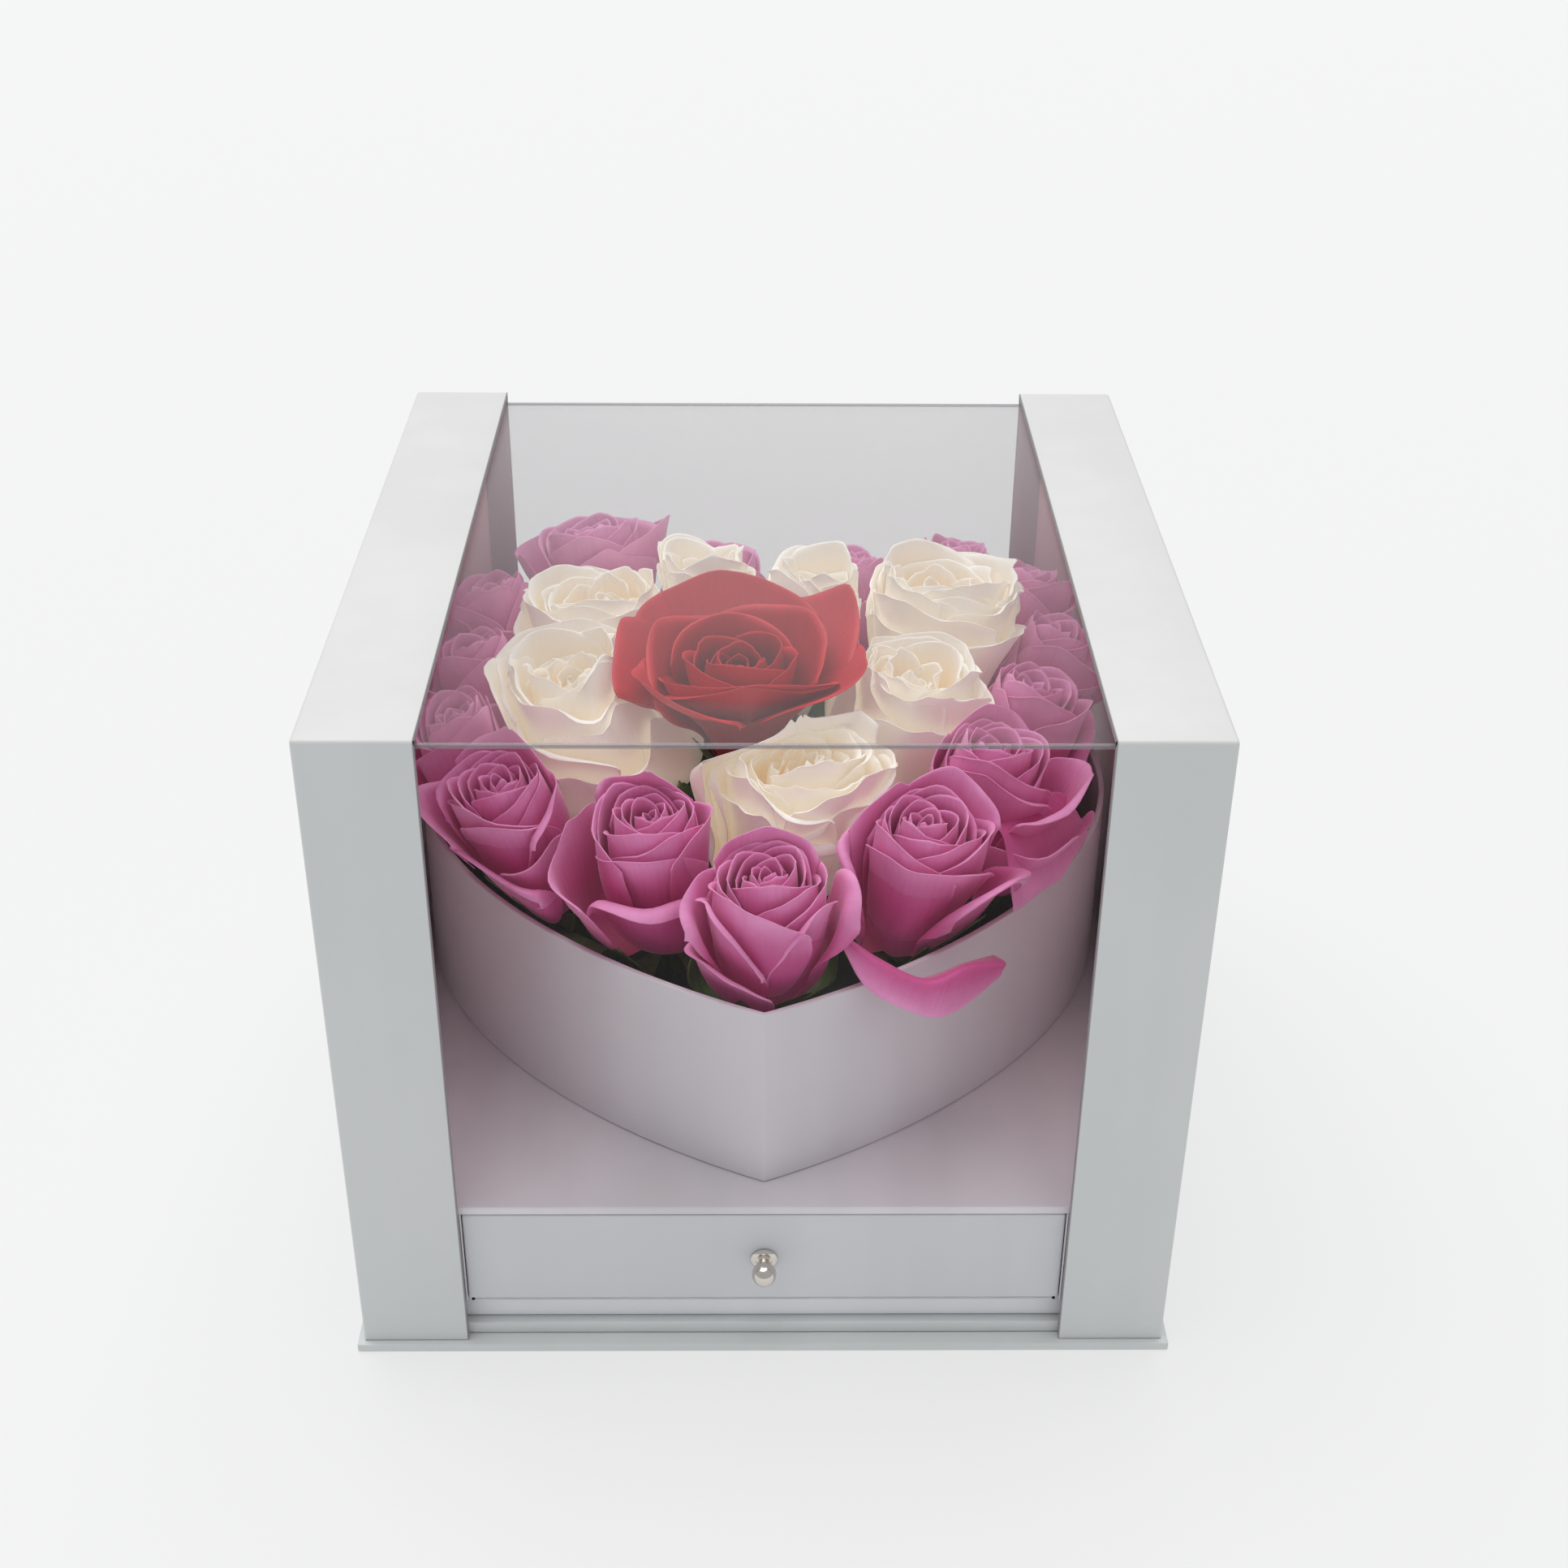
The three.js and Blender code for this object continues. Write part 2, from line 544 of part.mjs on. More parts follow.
// Two outer petals have dropped open: one hangs over the rim beside the tip, one lies on the rim.
const HANGING_PETAL = loosePetal([
  [[40, -70, 117], [44, -72, 117], [48, -70, 117]],
  [[25, -84, 126], [43, -91, 124], [60, -80, 124]],
  [[37, -104, 115], [54, -107, 113], [75, -83, 111]],
]);
const RIM_PETAL = loosePetal([
  [[62, -32, 118], [64, -27, 118], [66, -22, 118]],
  [[72, -46, 130], [81, -36, 131], [88, -22, 130]],
  [[78, -63, 122.5], [95, -46, 123.5], [107, -18, 124]],
]);
const strayPetals = new Map([
  [pinks[1], [HANGING_PETAL]],
  [pinks[2], [RIM_PETAL]],
]);

// One narrow leaf shows between two roses, running from its stem to just inside the rim.
const LEAF = loosePetal([
  [[-73, -41, 102], [-71, -41, 102], [-69, -41, 102]],
  [[-65, -59, 107], [-62, -57, 108.5], [-59, -55, 108]],
  [[-50.5, -76.5, 116], [-49, -75, 116.5], [-48, -73.5, 116]],
]);
const leaves = new Map([[pinks[13], [LEAF]]]);

// Stem and calyx of a rose: a straight stem down into the foam, swelling under the bloom.
const stemFoot = (one) => (FOAM_TOP - STEM.depth + FIT - one.root.z) / one.axis.z;

function alongStem(one, geometry) {
  geometry.rotateX(Math.PI / 2);
  const frame = new THREE.Matrix4().makeBasis(one.right, one.ahead, one.axis);
  return geometry.applyMatrix4(frame.setPosition(one.root));
}

function stemOf(one) {
  const profile = [
    [0, stemFoot(one)],
    [STEM.radius, stemFoot(one)],
    [STEM.radius, -CALYX.height],
    [CALYX.radius, -FIT],
    [0, -FIT],
  ].map(([out, up]) => new THREE.Vector2(out, up));
  const stem = alongStem(one, new THREE.LatheGeometry(profile, STEM.sides));
  return welded(join([stem, ...(leaves.get(one) ?? [])]));
}

// The hole that a stem stands in, cut out past the foam's top.
function stemHole(one) {
  const foot = stemFoot(one) - FIT;
  const top = BOARD + (FOAM_TOP - one.root.z) / one.axis.z;
  const profile = [[0, foot], [STEM.hole, foot], [STEM.hole, top], [0, top]];
  return alongStem(
    one,
    new THREE.LatheGeometry(profile.map(([out, up]) => new THREE.Vector2(out, up)), STEM.sides),
  );
}

const foamBlock = raised(heartOutline(HEART_BOX.wall + 2 * FIT), FOAM_FOOT, FOAM_TOP);
add("floral_foam", FOAM_GREEN, geometryOf(cut(solidOf(foamBlock), roses.map(stemHole))));

for (const [kind, list, colour] of [
  ["pink_rose", pinks, PINK],
  ["cream_rose", creams, CREAM],
  ["red_rose", reds, RED],
]) {
  list.forEach((one, i) => {
    add(`${kind}_${i + 1}`, colour, bloomOf(one, strayPetals.get(one)));
    add(`${kind}_${i + 1}_stem`, LEAF_GREEN, stemOf(one));
  });
}

export default group;
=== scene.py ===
from math import cos, pi, radians, sin, tau

import bpy
import numpy as np
from mathutils import Matrix, Vector


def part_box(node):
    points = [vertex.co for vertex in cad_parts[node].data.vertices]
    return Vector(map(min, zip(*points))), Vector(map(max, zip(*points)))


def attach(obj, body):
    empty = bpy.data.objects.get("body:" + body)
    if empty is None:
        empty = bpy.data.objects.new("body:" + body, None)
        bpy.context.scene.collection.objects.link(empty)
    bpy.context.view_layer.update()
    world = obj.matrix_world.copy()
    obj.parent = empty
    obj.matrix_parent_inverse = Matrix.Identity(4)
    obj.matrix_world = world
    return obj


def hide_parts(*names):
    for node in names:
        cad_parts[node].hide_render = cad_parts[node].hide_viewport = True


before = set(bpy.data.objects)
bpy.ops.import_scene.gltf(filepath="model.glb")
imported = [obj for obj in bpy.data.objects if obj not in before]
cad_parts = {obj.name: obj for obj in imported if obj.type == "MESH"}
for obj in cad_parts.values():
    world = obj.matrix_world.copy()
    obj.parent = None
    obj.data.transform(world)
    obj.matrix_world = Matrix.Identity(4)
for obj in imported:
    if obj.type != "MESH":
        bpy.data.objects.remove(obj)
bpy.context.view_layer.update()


# Base board, locating board and plinth. Three flat boards, each of greyboard wrapped in white
# paper that is turned over its edges, lie on each other and are glued. The base board stands
# proud of the sleeve all round.
MM = 0.001

# The numbers of a Mix node's sockets for its two colours and its result.
MIX_FIRST, MIX_SECOND, MIX_RESULT = 6, 7, 2


class Tone:
    """The value of one socket in a finish, worked with like a number for colour and relief."""

    def __init__(self, tree, socket=None):
        self.tree = tree
        self.socket = socket

    def feed(self, node, inputs):
        """Sets sockets of a node, with a link where the value is a tone."""
        for name, value in inputs.items():
            socket = node.inputs[name]
            if isinstance(value, Tone):
                self.tree.links.new(value.socket, socket)
            else:
                socket.default_value = value

    def node(self, kind, settings=(), inputs=(), output=0):
        """A new node of a type, with its settings first, then its inputs, as one of its outputs."""
        made = self.tree.nodes.new(kind)
        for name, value in dict(settings).items():
            setattr(made, name, value)
        self.feed(made, dict(inputs))
        return Tone(self.tree, made.outputs[output])

    def math(self, operation, *values):
        return self.node("ShaderNodeMath", {"operation": operation}, dict(enumerate(values)))

    def __add__(self, other):
        return self.math("ADD", self, other)

    def __sub__(self, other):
        return self.math("SUBTRACT", self, other)

    def __rsub__(self, other):
        return self.math("SUBTRACT", other, self)

    def __mul__(self, other):
        return self.math("MULTIPLY", self, other)

    __radd__ = __add__
    __rmul__ = __mul__

    def __abs__(self):
        return self.math("ABSOLUTE", self)

    def held(self):
        """The same value, held from 0 to 1."""
        return self.node("ShaderNodeClamp", inputs={"Value": self})

    def between(self, first, last):
        """0 below the first value and 1 above the last, with a smooth rise."""
        inputs = {"Value": self, "From Min": first, "From Max": last}
        return self.node("ShaderNodeMapRange", {"interpolation_type": "SMOOTHSTEP"}, inputs)

    def colours(self, first, second, blend="MIX"):
        """The first colour where this is 0. Where it is 1, the second, or the two multiplied."""
        ends = [c if isinstance(c, Tone) else (*c, 1) for c in (first, second)]
        settings = {"data_type": "RGBA", "blend_type": blend}
        inputs = {0: self, MIX_FIRST: ends[0], MIX_SECOND: ends[1]}
        return self.node("ShaderNodeMix", settings, inputs, MIX_RESULT)

    def places(self):
        """Where each point of a piece lies, in metres."""
        return self.node("ShaderNodeTexCoord", output="Object")

    def axis(self, letter):
        """How far each point lies along one axis, in metres."""
        return self.node("ShaderNodeSeparateXYZ", inputs={"Vector": self.places()}, output=letter)

    def stretched(self, scale):
        """The places scaled along each axis, which draws a pattern on them out into streaks."""
        inputs = {"Vector": self.places(), "Scale": scale}
        return self.node("ShaderNodeMapping", inputs=inputs)

    def noise(self, places, scale, detail=2.0, roughness=0.5):
        inputs = {"Vector": places, "Scale": scale, "Detail": detail, "Roughness": roughness}
        return self.node("ShaderNodeTexNoise", inputs=inputs)

    def bump(self, height, distance, strength=1.0):
        inputs = {"Height": height, "Distance": distance, "Strength": strength}
        return self.node("ShaderNodeBump", inputs=inputs)


def finish(name):
    """A new material: its nodes' tone to work with, and its shader to feed."""
    material = bpy.data.materials.new(name)
    material.use_nodes = True
    tree = material.node_tree
    return material, Tone(tree), tree.nodes["Principled BSDF"]


PAPER_TOOTH = 0.04 * MM
ALONG_Z = (60, 60, 3)


def paper_grain(tone, run):
    """The faint clouds and streaks in smooth paper, and both of them together."""
    cloud = tone.noise(tone.places(), 14, 3)
    streaks = tone.noise(tone.stretched(run), 1, 2)
    return cloud, streaks, (cloud * 0.6 + streaks * 0.4).between(0.35, 0.7)


def paper_skin(tone, shader, colour, cloud):
    """Smooth paper in a colour: a fine tooth and a soft pearl sheen."""
    tooth = tone.noise(tone.places(), 2600, 2)
    tone.feed(
        shader,
        {
            "Base Color": colour,
            "Roughness": 0.42 + cloud * 0.16,
            "Normal": tone.bump(tooth, PAPER_TOOTH, 0.5),
            "Coat Weight": 0.12,
            "Coat Roughness": 0.45,
        },
    )


def wrapped_paper(name, colour, shade, run=ALONG_Z):
    """The paper that greyboard is wrapped in, mottled between a colour and a darker shade."""
    material, tone, shader = finish(name)
    cloud, _, mottled = paper_grain(tone, run)
    paper_skin(tone, shader, mottled.colours(shade, colour), cloud)
    return material


outer_paper = wrapped_paper("outer_paper", (0.69, 0.71, 0.705), (0.65, 0.675, 0.67))
plinth_paper = wrapped_paper("plinth_paper", (0.82, 0.83, 0.86), (0.78, 0.79, 0.82))


def placed(piece, material, slot, body, *nodes):
    """Gives a piece its finish, ties it to the body and hides the nodes that it stands for."""
    piece.data.materials.clear()
    piece.data.materials.append(material)
    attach(piece, body)
    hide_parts(*nodes)


PAPER_TURN = 0.5 * MM


def block(name, low, high):
    """A block between two corners, for shaping."""
    low, high = Vector(low), Vector(high)
    bpy.ops.object.select_all(action="DESELECT")
    bpy.ops.mesh.primitive_cube_add(size=1, location=(low + high) / 2, scale=high - low)
    piece = bpy.context.object
    piece.name = name
    bpy.ops.object.transform_apply(location=True, rotation=False, scale=True)
    return piece


def board(name, low, high, turn=PAPER_TURN):
    """A wrapped board between two corners, with the paper turned softly over its edges."""
    piece = block(name, low, high)
    bpy.ops.object.mode_set(mode="EDIT")
    bpy.ops.mesh.select_all(action="SELECT")
    bpy.ops.mesh.bevel(offset=turn, segments=3, affect="EDGES")
    bpy.ops.object.mode_set(mode="OBJECT")
    bpy.ops.object.shade_smooth_by_angle(angle=radians(30))
    return piece


for node, paper in (
    ("base_board", outer_paper),
    ("locating_board", outer_paper),
    ("plinth", plinth_paper),
):
    placed(board(f"{node}_wrapped", *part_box(node)), paper, "white_board", "box", node)


# Drawer chest. A shelf board lies on four upright walls, a back board and a short board on each
# side of the drawer's front, all wrapped in paper and glued. The drawer runs between the two
# inner walls.
BOARD = 2.5 * MM
SHELF = 3 * MM
SHELF_STREAKS_AND_REFLECTIONS = (45, 3, 3)
# The shelf's paper is streaked across, partly its own grain and partly painted reflections of the
# heart box and the light.
shelf_paper = wrapped_paper("shelf_paper", (0.8, 0.765, 0.8), (0.69, 0.66, 0.69), SHELF_STREAKS_AND_REFLECTIONS)
low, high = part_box("drawer_chest")
BAY_SIDE = 92 * MM
under_shelf = high.z - SHELF


def only(piece):
    """Selects one piece alone and makes it the one that is worked on."""
    bpy.ops.object.select_all(action="DESELECT")
    piece.select_set(True)
    bpy.context.view_layer.objects.active = piece


def joined(pieces, name):
    """Several pieces glued up as one."""
    only(pieces[0])
    for piece in pieces:
        piece.select_set(True)
    bpy.ops.object.join()
    whole = bpy.context.object
    whole.name = name
    whole.data.name = name
    return whole


def upright(x0, y0, x1, y1):
    """One upright board of the chest, from its floor to its shelf."""
    return board("upright", (x0, y0, low.z), (x1, y1, under_shelf))


chest_boards = [
    board("shelf", (low.x, low.y, under_shelf), high),
    upright(low.x, high.y - BOARD, high.x, high.y),
]
for side in (-1, 1):
    bay, outer = side * BAY_SIDE, side * high.x
    for x0, x1, y1 in (
        (bay, bay + side * BOARD, high.y),
        (outer - side * BOARD, outer, high.y),
        (bay, outer, low.y + BOARD),
    ):
        chest_boards.append(upright(min(x0, x1), low.y, max(x0, x1), y1))
chest = joined(chest_boards, "drawer_chest_boards")
placed(chest, shelf_paper, "inner_board", "box", "drawer_chest")


# Drawer. A front panel as high as the bay is glued to a shallow tray of thin boards, all wrapped in
# paper. It stands on the plinth and slides out to the front.
front_paper = wrapped_paper("front_paper", (0.68, 0.69, 0.72), (0.64, 0.65, 0.68))
DRAWER_FRONT = 3 * MM
FRONT_TURN = 0.7 * MM
DRAWER_WALL = 2 * MM
FRONT_HALF = 91.7 * MM
TRAY_HEIGHT = 30 * MM
low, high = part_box("drawer")
tray_top = low.z + TRAY_HEIGHT
inside = low.x + DRAWER_WALL
drawer_boards = [
    board(
        "front", (-FRONT_HALF, low.y, low.z), (FRONT_HALF, low.y + DRAWER_FRONT, high.z), FRONT_TURN
    ),
    board("floor", (low.x, low.y, low.z), (high.x, high.y, low.z + DRAWER_WALL)),
    board("left", low, (inside, high.y, tray_top)),
    board("right", (-inside, low.y, low.z), (high.x, high.y, tray_top)),
    board("back", (low.x, high.y - DRAWER_WALL, low.z), (high.x, high.y, tray_top)),
]
drawer = joined(drawer_boards, "drawer_boards")
placed(drawer, front_paper, "inner_board", "drawer", "drawer")


# Knob. A plate, a slim neck and a ball are turned from one rod and nickel plated. The knob is
# screwed on from inside the drawer.
def drawn_out(rings, sides):
    """A round piece along Z, drawn out from one ring to the next, each a radius and a height."""
    bpy.ops.object.select_all(action="DESELECT")
    radius, up = rings[0]
    bpy.ops.mesh.primitive_circle_add(vertices=sides, radius=radius, fill_type="NGON")
    piece = bpy.context.object
    piece.data.transform(Matrix.Translation((0, 0, up)))
    bpy.ops.object.mode_set(mode="EDIT")
    bpy.ops.mesh.select_all(action="SELECT")
    for wider, higher in rings[1:]:
        bpy.ops.mesh.extrude_region_move(TRANSFORM_OT_translate={"value": (0, 0, higher - up)})
        share = wider / radius
        bpy.ops.transform.resize(value=(share, share, 1), center_override=(0, 0, higher))
        radius, up = wider, higher
    bpy.ops.mesh.select_all(action="SELECT")
    bpy.ops.mesh.normals_make_consistent(inside=False)
    bpy.ops.object.mode_set(mode="OBJECT")
    return piece


low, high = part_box("drawer_knob")
KNOB_SIDES = 48
KNOB_BALL = 3.75 * MM
KNOB_NECK = 1.9 * MM
KNOB_PLATE = 4.1 * MM
SCREW = 1.4 * MM
SCREW_HEAD = 3.5 * MM
HEAD_HEIGHT = 1.5 * MM
FIT = 0.3 * MM
behind_front = -DRAWER_FRONT - FIT
drawer_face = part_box("drawer")[0].y
ball_centre = drawer_face - low.y - KNOB_BALL
outline = [
    (SCREW_HEAD, behind_front - HEAD_HEIGHT),
    (SCREW_HEAD, behind_front),
    (SCREW, behind_front),
    (SCREW, FIT),
    (KNOB_PLATE - 0.2 * MM, FIT),
    (KNOB_PLATE, 0.5 * MM),
    (KNOB_PLATE, 0.9 * MM),
    (KNOB_PLATE - 0.5 * MM, 1.35 * MM),
    (KNOB_NECK + 0.5 * MM, 1.6 * MM),
    (KNOB_NECK, 2.1 * MM),
    (KNOB_NECK, 3.2 * MM),
]
BALL_STEPS = 14
BALL_FROM = -1.02
BALL_TO = pi / 2 - 0.05
for step in range(BALL_STEPS + 1):
    angle = BALL_FROM + (step / BALL_STEPS) * (BALL_TO - BALL_FROM)
    outline.append((KNOB_BALL * cos(angle), ball_centre + KNOB_BALL * sin(angle)))
knob = drawn_out(outline, KNOB_SIDES)
knob.name = "knob_turned"
on_face = Matrix.Translation((0, drawer_face, (low.z + high.z) / 2))
knob.data.transform(on_face @ Matrix.Rotation(pi / 2, 4, "X"))
bpy.ops.object.shade_smooth_by_angle(angle=radians(32))

nickel, tone, shader = finish("nickel")
brushed = tone.noise(tone.stretched((400, 400, 400)), 1, 2)
tone.feed(
    shader,
    {
        "Base Color": brushed.colours((0.62, 0.585, 0.53), (0.72, 0.69, 0.64)),
        "Metallic": 1.0,
        "Roughness": 0.12 + brushed * 0.1,
    },
)
placed(knob, nickel, "nickel", "drawer", "drawer_knob")


# Heart box. A strip of thin board is bent to a heart and creased at its tip and its notch, then
# wrapped in paper. It stands round its base board, which keeps its shape.
FRONT = -126 * MM
HEART = {
    "half": 117.5 * MM,
    "lobe": 60 * MM,
    "tip": FRONT + 14 * MM,
    "widest": FRONT + 155 * MM,
    "notch": FRONT + 192 * MM,
    "top": FRONT + 236 * MM,
}
PULL = {
    "tip": (61 * MM, 27 * MM),
    "side": 61 * MM,
    "shoulder": 45 * MM,
    "top": 32 * MM,
    "crest": 28 * MM,
    "notch": (5 * MM, 28 * MM),
}
HEART_WALL = 2 * MM
HEART_FACETS = 32
inner_paper = wrapped_paper("inner_paper", (0.81, 0.78, 0.82), (0.76, 0.73, 0.765))


def finished(piece, modifier, **settings):
    """Adds a modifier with its settings and applies it."""
    only(piece)
    made = piece.modifiers.new(modifier.lower(), modifier)
    for name, value in settings.items():
        setattr(made, name, value)
    bpy.ops.object.modifier_apply(modifier=made.name)


def bezier(corners, share):
    """Places on a cubic curve, at shares of its way from the first corner to the last."""
    a, b, c, d = np.asarray(corners, float)
    t = np.asarray(share, float)[:, None]
    return (1 - t) ** 3 * a + 3 * (1 - t) ** 2 * t * b + 3 * (1 - t) * t * t * c + t**3 * d


def heart_outline(inset, facets):
    """The heart from its tip round one lobe to the notch and back, set in by a distance."""
    half, lobe = HEART["half"], HEART["lobe"]
    tip, widest, top, notch = (HEART[key] for key in ("tip", "widest", "top", "notch"))
    tip_x, tip_y = PULL["tip"]
    notch_x, notch_y = PULL["notch"]
    side, shoulder, over, crest = (PULL[key] for key in ("side", "shoulder", "top", "crest"))
    right = [
        [(0, tip), (tip_x, tip + tip_y), (half, widest - side), (half, widest)],
        [(half, widest), (half, widest + shoulder), (lobe + over, top), (lobe, top)],
        [(lobe, top), (lobe - crest, top), (notch_x, notch + notch_y), (0, notch)],
    ]
    left = [[(-x, y) for x, y in reversed(part)] for part in reversed(right)]
    share = np.arange(facets) / facets
    points = np.concatenate([bezier(part, share) for part in right + left])
    into = points - np.roll(points, 1, 0)
    out = np.roll(points, -1, 0) - points
    into /= np.linalg.norm(into, axis=1)[:, None]
    out /= np.linalg.norm(out, axis=1)[:, None]
    one = np.stack([-into[:, 1], into[:, 0]], 1)
    two = np.stack([-out[:, 1], out[:, 0]], 1)
    return points + inset * (one + two) / (1 + (one * two).sum(1))[:, None]


low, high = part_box("heart_wall")
rim = high.z
strip = bpy.data.meshes.new("heart_strip")
line = heart_outline(0, HEART_FACETS)
count = len(line)
strip.from_pydata(
    [(x, y, low.z) for x, y in line], [(i, (i + 1) % count) for i in range(count)], []
)
heart_strip = bpy.data.objects.new("heart_strip", strip)
bpy.context.scene.collection.objects.link(heart_strip)
only(heart_strip)
bpy.ops.object.mode_set(mode="EDIT")
bpy.ops.mesh.select_all(action="SELECT")
bpy.ops.mesh.extrude_region_move(TRANSFORM_OT_translate={"value": (0, 0, high.z - low.z)})
bpy.ops.mesh.select_all(action="SELECT")
bpy.ops.mesh.normals_make_consistent(inside=False)
bpy.ops.object.mode_set(mode="OBJECT")
finished(heart_strip, "SOLIDIFY", thickness=HEART_WALL, offset=-1, use_even_offset=True)
finished(heart_strip, "BEVEL", width=PAPER_TURN, segments=3, angle_limit=radians(40))
bpy.ops.object.shade_smooth_by_angle(angle=radians(35))
placed(heart_strip, inner_paper, "inner_board", "box", "heart_wall")
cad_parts["heart_base"].data.materials[0] = inner_paper


# Floral foam. A block of wet foam, cut to the heart, holds every stem. Where it shows between the
# blooms it is painted nearly black green, partly the dark of wet foam and partly painted shade from
# the blooms over it, with fine open pores.
foam_finish, tone, shader = finish("wet_foam")
places = tone.places()
pores = tone.noise(places, 1500, 3, 0.7)
patches = tone.noise(places, 90, 2)
tone.feed(
    shader,
    {
        # Nearly black green: the dark of wet foam and painted shade from the blooms.
        "Base Color": patches.colours((0.012, 0.02, 0.014), (0.028, 0.045, 0.028)),
        "Roughness": 0.8,
        "Normal": tone.bump(pores, 0.6 * MM),
    },
)
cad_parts["floral_foam"].data.materials[0] = foam_finish


# The roses. Fifteen mauve pink roses stand round the rim, seven cream ones inside them and a large
# red one over the middle. Each is a cut rose: thin soft petals in whorls round a tight coil, and
# its neighbours press it in. Two pink petals have dropped open at the front right.
def whorl(count, half, curve, **more):
    """One ring of petals: how many, half the angle that each spans, and the corners of the curve
    from root to lip, as shares of the bloom's reach and height. A petal's edge rolls outwards over
    a depth, round a radius, less at its tip than at its shoulders, and waves by a share of the
    reach in long, middling and short beats."""
    looks = {
        "wrap": 0.1,
        "rounding": 0.1,
        "taper": 0,
        "tip": 0.02,
        "wave": 0.01,
        "beats": (3, 7, 13),
        "roll": (0, 1),
        "tip_roll": 0.5,
        "ring": 0.0,
        "loose": 0.06,
        "across": 14,
        "along": 12,
    }
    return {"count": count, "half": half, "curve": curve} | looks | more


def outer_petal(facing, out, up, half, depth, bend, **more):
    """An outer petal of its own: where it faces, in degrees from the right towards the back, how
    far its lip reaches, how high it stands, and the depth and radius of its roll."""
    curve = [(0.2, 0.03), (0.86 * out, 0.1), (0.82 * out, up - 0.2), (out, up)]
    looks = {"roll": (depth, bend), "across": 28, "along": 26, "loose": 0, "rounding": 0.14}
    return whorl(1, half, curve, **(looks | {"facing": radians(facing)} | more))


def saucer_petal(facing, out, up, half, depth, bend, **more):
    """An outer petal that opens like a saucer on a narrow foot."""
    petal = outer_petal(facing, out, up, half, depth, bend, **more)
    return petal | {"curve": [(0.1, 0.02), (0.15, 0.72), (0.9 * out, 0.66), (out, up)]}


def rose(x, y, z, lean, reach, **more):
    """One rose: where its swirl lies in millimetres, its lean outwards in degrees, how far its
    petals reach, and for some the turn round the stem or how much the bloom lies over others. A
    rose with outer petals of its own leaves out its kind's last two whorls, unless kept says
    where to stop."""
    kept = {"kept": -2} if "outer" in more else {}
    return {"swirl": (x, y, z), "lean": lean, "reach": reach, "over": 0, **kept, **more}


HANGING_PETAL = [
    [(24, -86, 128), (33, -90, 124), (46, -93, 119), (60, -87, 120), (70, -80, 118)],
    [(22, -93, 136), (34, -100, 130), (48, -102, 124), (60, -97, 125), (73, -87, 120)],
    [(22, -95, 132), (30, -104, 123), (44, -107, 116.5), (56, -103, 111), (74, -87, 115)],
]
RIM_PETAL = [
    [(62, -32, 118), (64, -27, 118), (66, -22, 118)],
    [(73, -48, 143), (84, -38, 144), (93, -22, 141)],
    [(78, -63, 122.5), (95, -46, 124), (107, -21, 126)],
]
LEFT_FRONT_ROLL = [
    outer_petal(70, 0.85, 1.08, 1.2, 2.5, 2.2, tip=0.05),
    outer_petal(-95, 0.72, 0.9, 1.3, 2, 2, rounding=0.3),
    outer_petal(-15, 0.85, 0.94, 1.1, 5, 3),
    outer_petal(175, 0.95, 0.9, 1.0, 4, 3),
    outer_petal(-120, 1.05, 0.76, 1.15, 9, 4.5, tip_roll=1),
    outer_petal(-50, 1.0, 0.72, 0.9, 4, 3),
]
FRONT_RIGHT_ROLL = [
    outer_petal(85, 0.8, 1.08, 1.2, 3, 2.4, tip=0.05),
    outer_petal(-12, 0.8, 0.95, 1.1, 3, 2.4),
    outer_petal(-100, 0.68, 0.88, 1.4, 1.8, 2, rounding=0.26),
    outer_petal(-174, 1.22, 0.9, 0.95, 4, 3, tip=0.05),
    outer_petal(-78, 0.95, 0.78, 1.2, 11, 4.5, tip_roll=1),
]
UPRIGHT_ROLLS = [
    outer_petal(90, 0.7, 1.08, 1.3, 2, 2),
    outer_petal(-38, 0.72, 0.9, 1.0, 3, 1.8, rounding=0.45),
    outer_petal(-146, 0.76, 0.92, 1.0, 3.5, 1.8, rounding=0.45),
    outer_petal(-4, 0.96, 0.96, 0.62, 8, 3.4, tip_roll=1),
    outer_petal(-140, 0.94, 0.56, 1.0, 3, 2, rounding=0.3),
    outer_petal(178, 0.85, 0.9, 0.8, 4, 2.6),
]
SQUARE_CUP = [
    outer_petal(62, 0.8, 1.08, 1.1, 3, 2.4, tip=0.03),
    outer_petal(135, 0.86, 1.02, 1.0, 3, 2.4, tip=0.04),
    outer_petal(-100, 0.72, 0.92, 1.5, 2, 2, tip=-0.03, rounding=0.2),
    outer_petal(-28, 1.12, 0.88, 1.05, 12, 4.6, tip_roll=1),
    outer_petal(178, 0.98, 0.9, 0.9, 7, 3.4, tip_roll=1),
]
BROAD_RIGHT = [
    outer_petal(100, 0.8, 1.06, 1.2, 3, 2.4),
    outer_petal(170, 0.94, 0.92, 1.0, 4, 2.6),
    outer_petal(-100, 0.74, 0.92, 1.2, 2.5, 2),
    outer_petal(-18, 1.08, 0.9, 1.0, 4, 3, tip=0.08),
    outer_petal(-42, 1.35, 0.66, 0.95, 4, 3, tip=0.1),
]
WIDE_OPEN = [
    outer_petal(90, 1.1, 0.95, 1.1, 3, 3),
    outer_petal(-60, 1.15, 0.86, 1.1, 4, 3),
    outer_petal(180, 1.25, 0.84, 1.1, 5, 3, tip=0.05),
    outer_petal(8, 1.2, 0.96, 1.0, 3, 3),
]
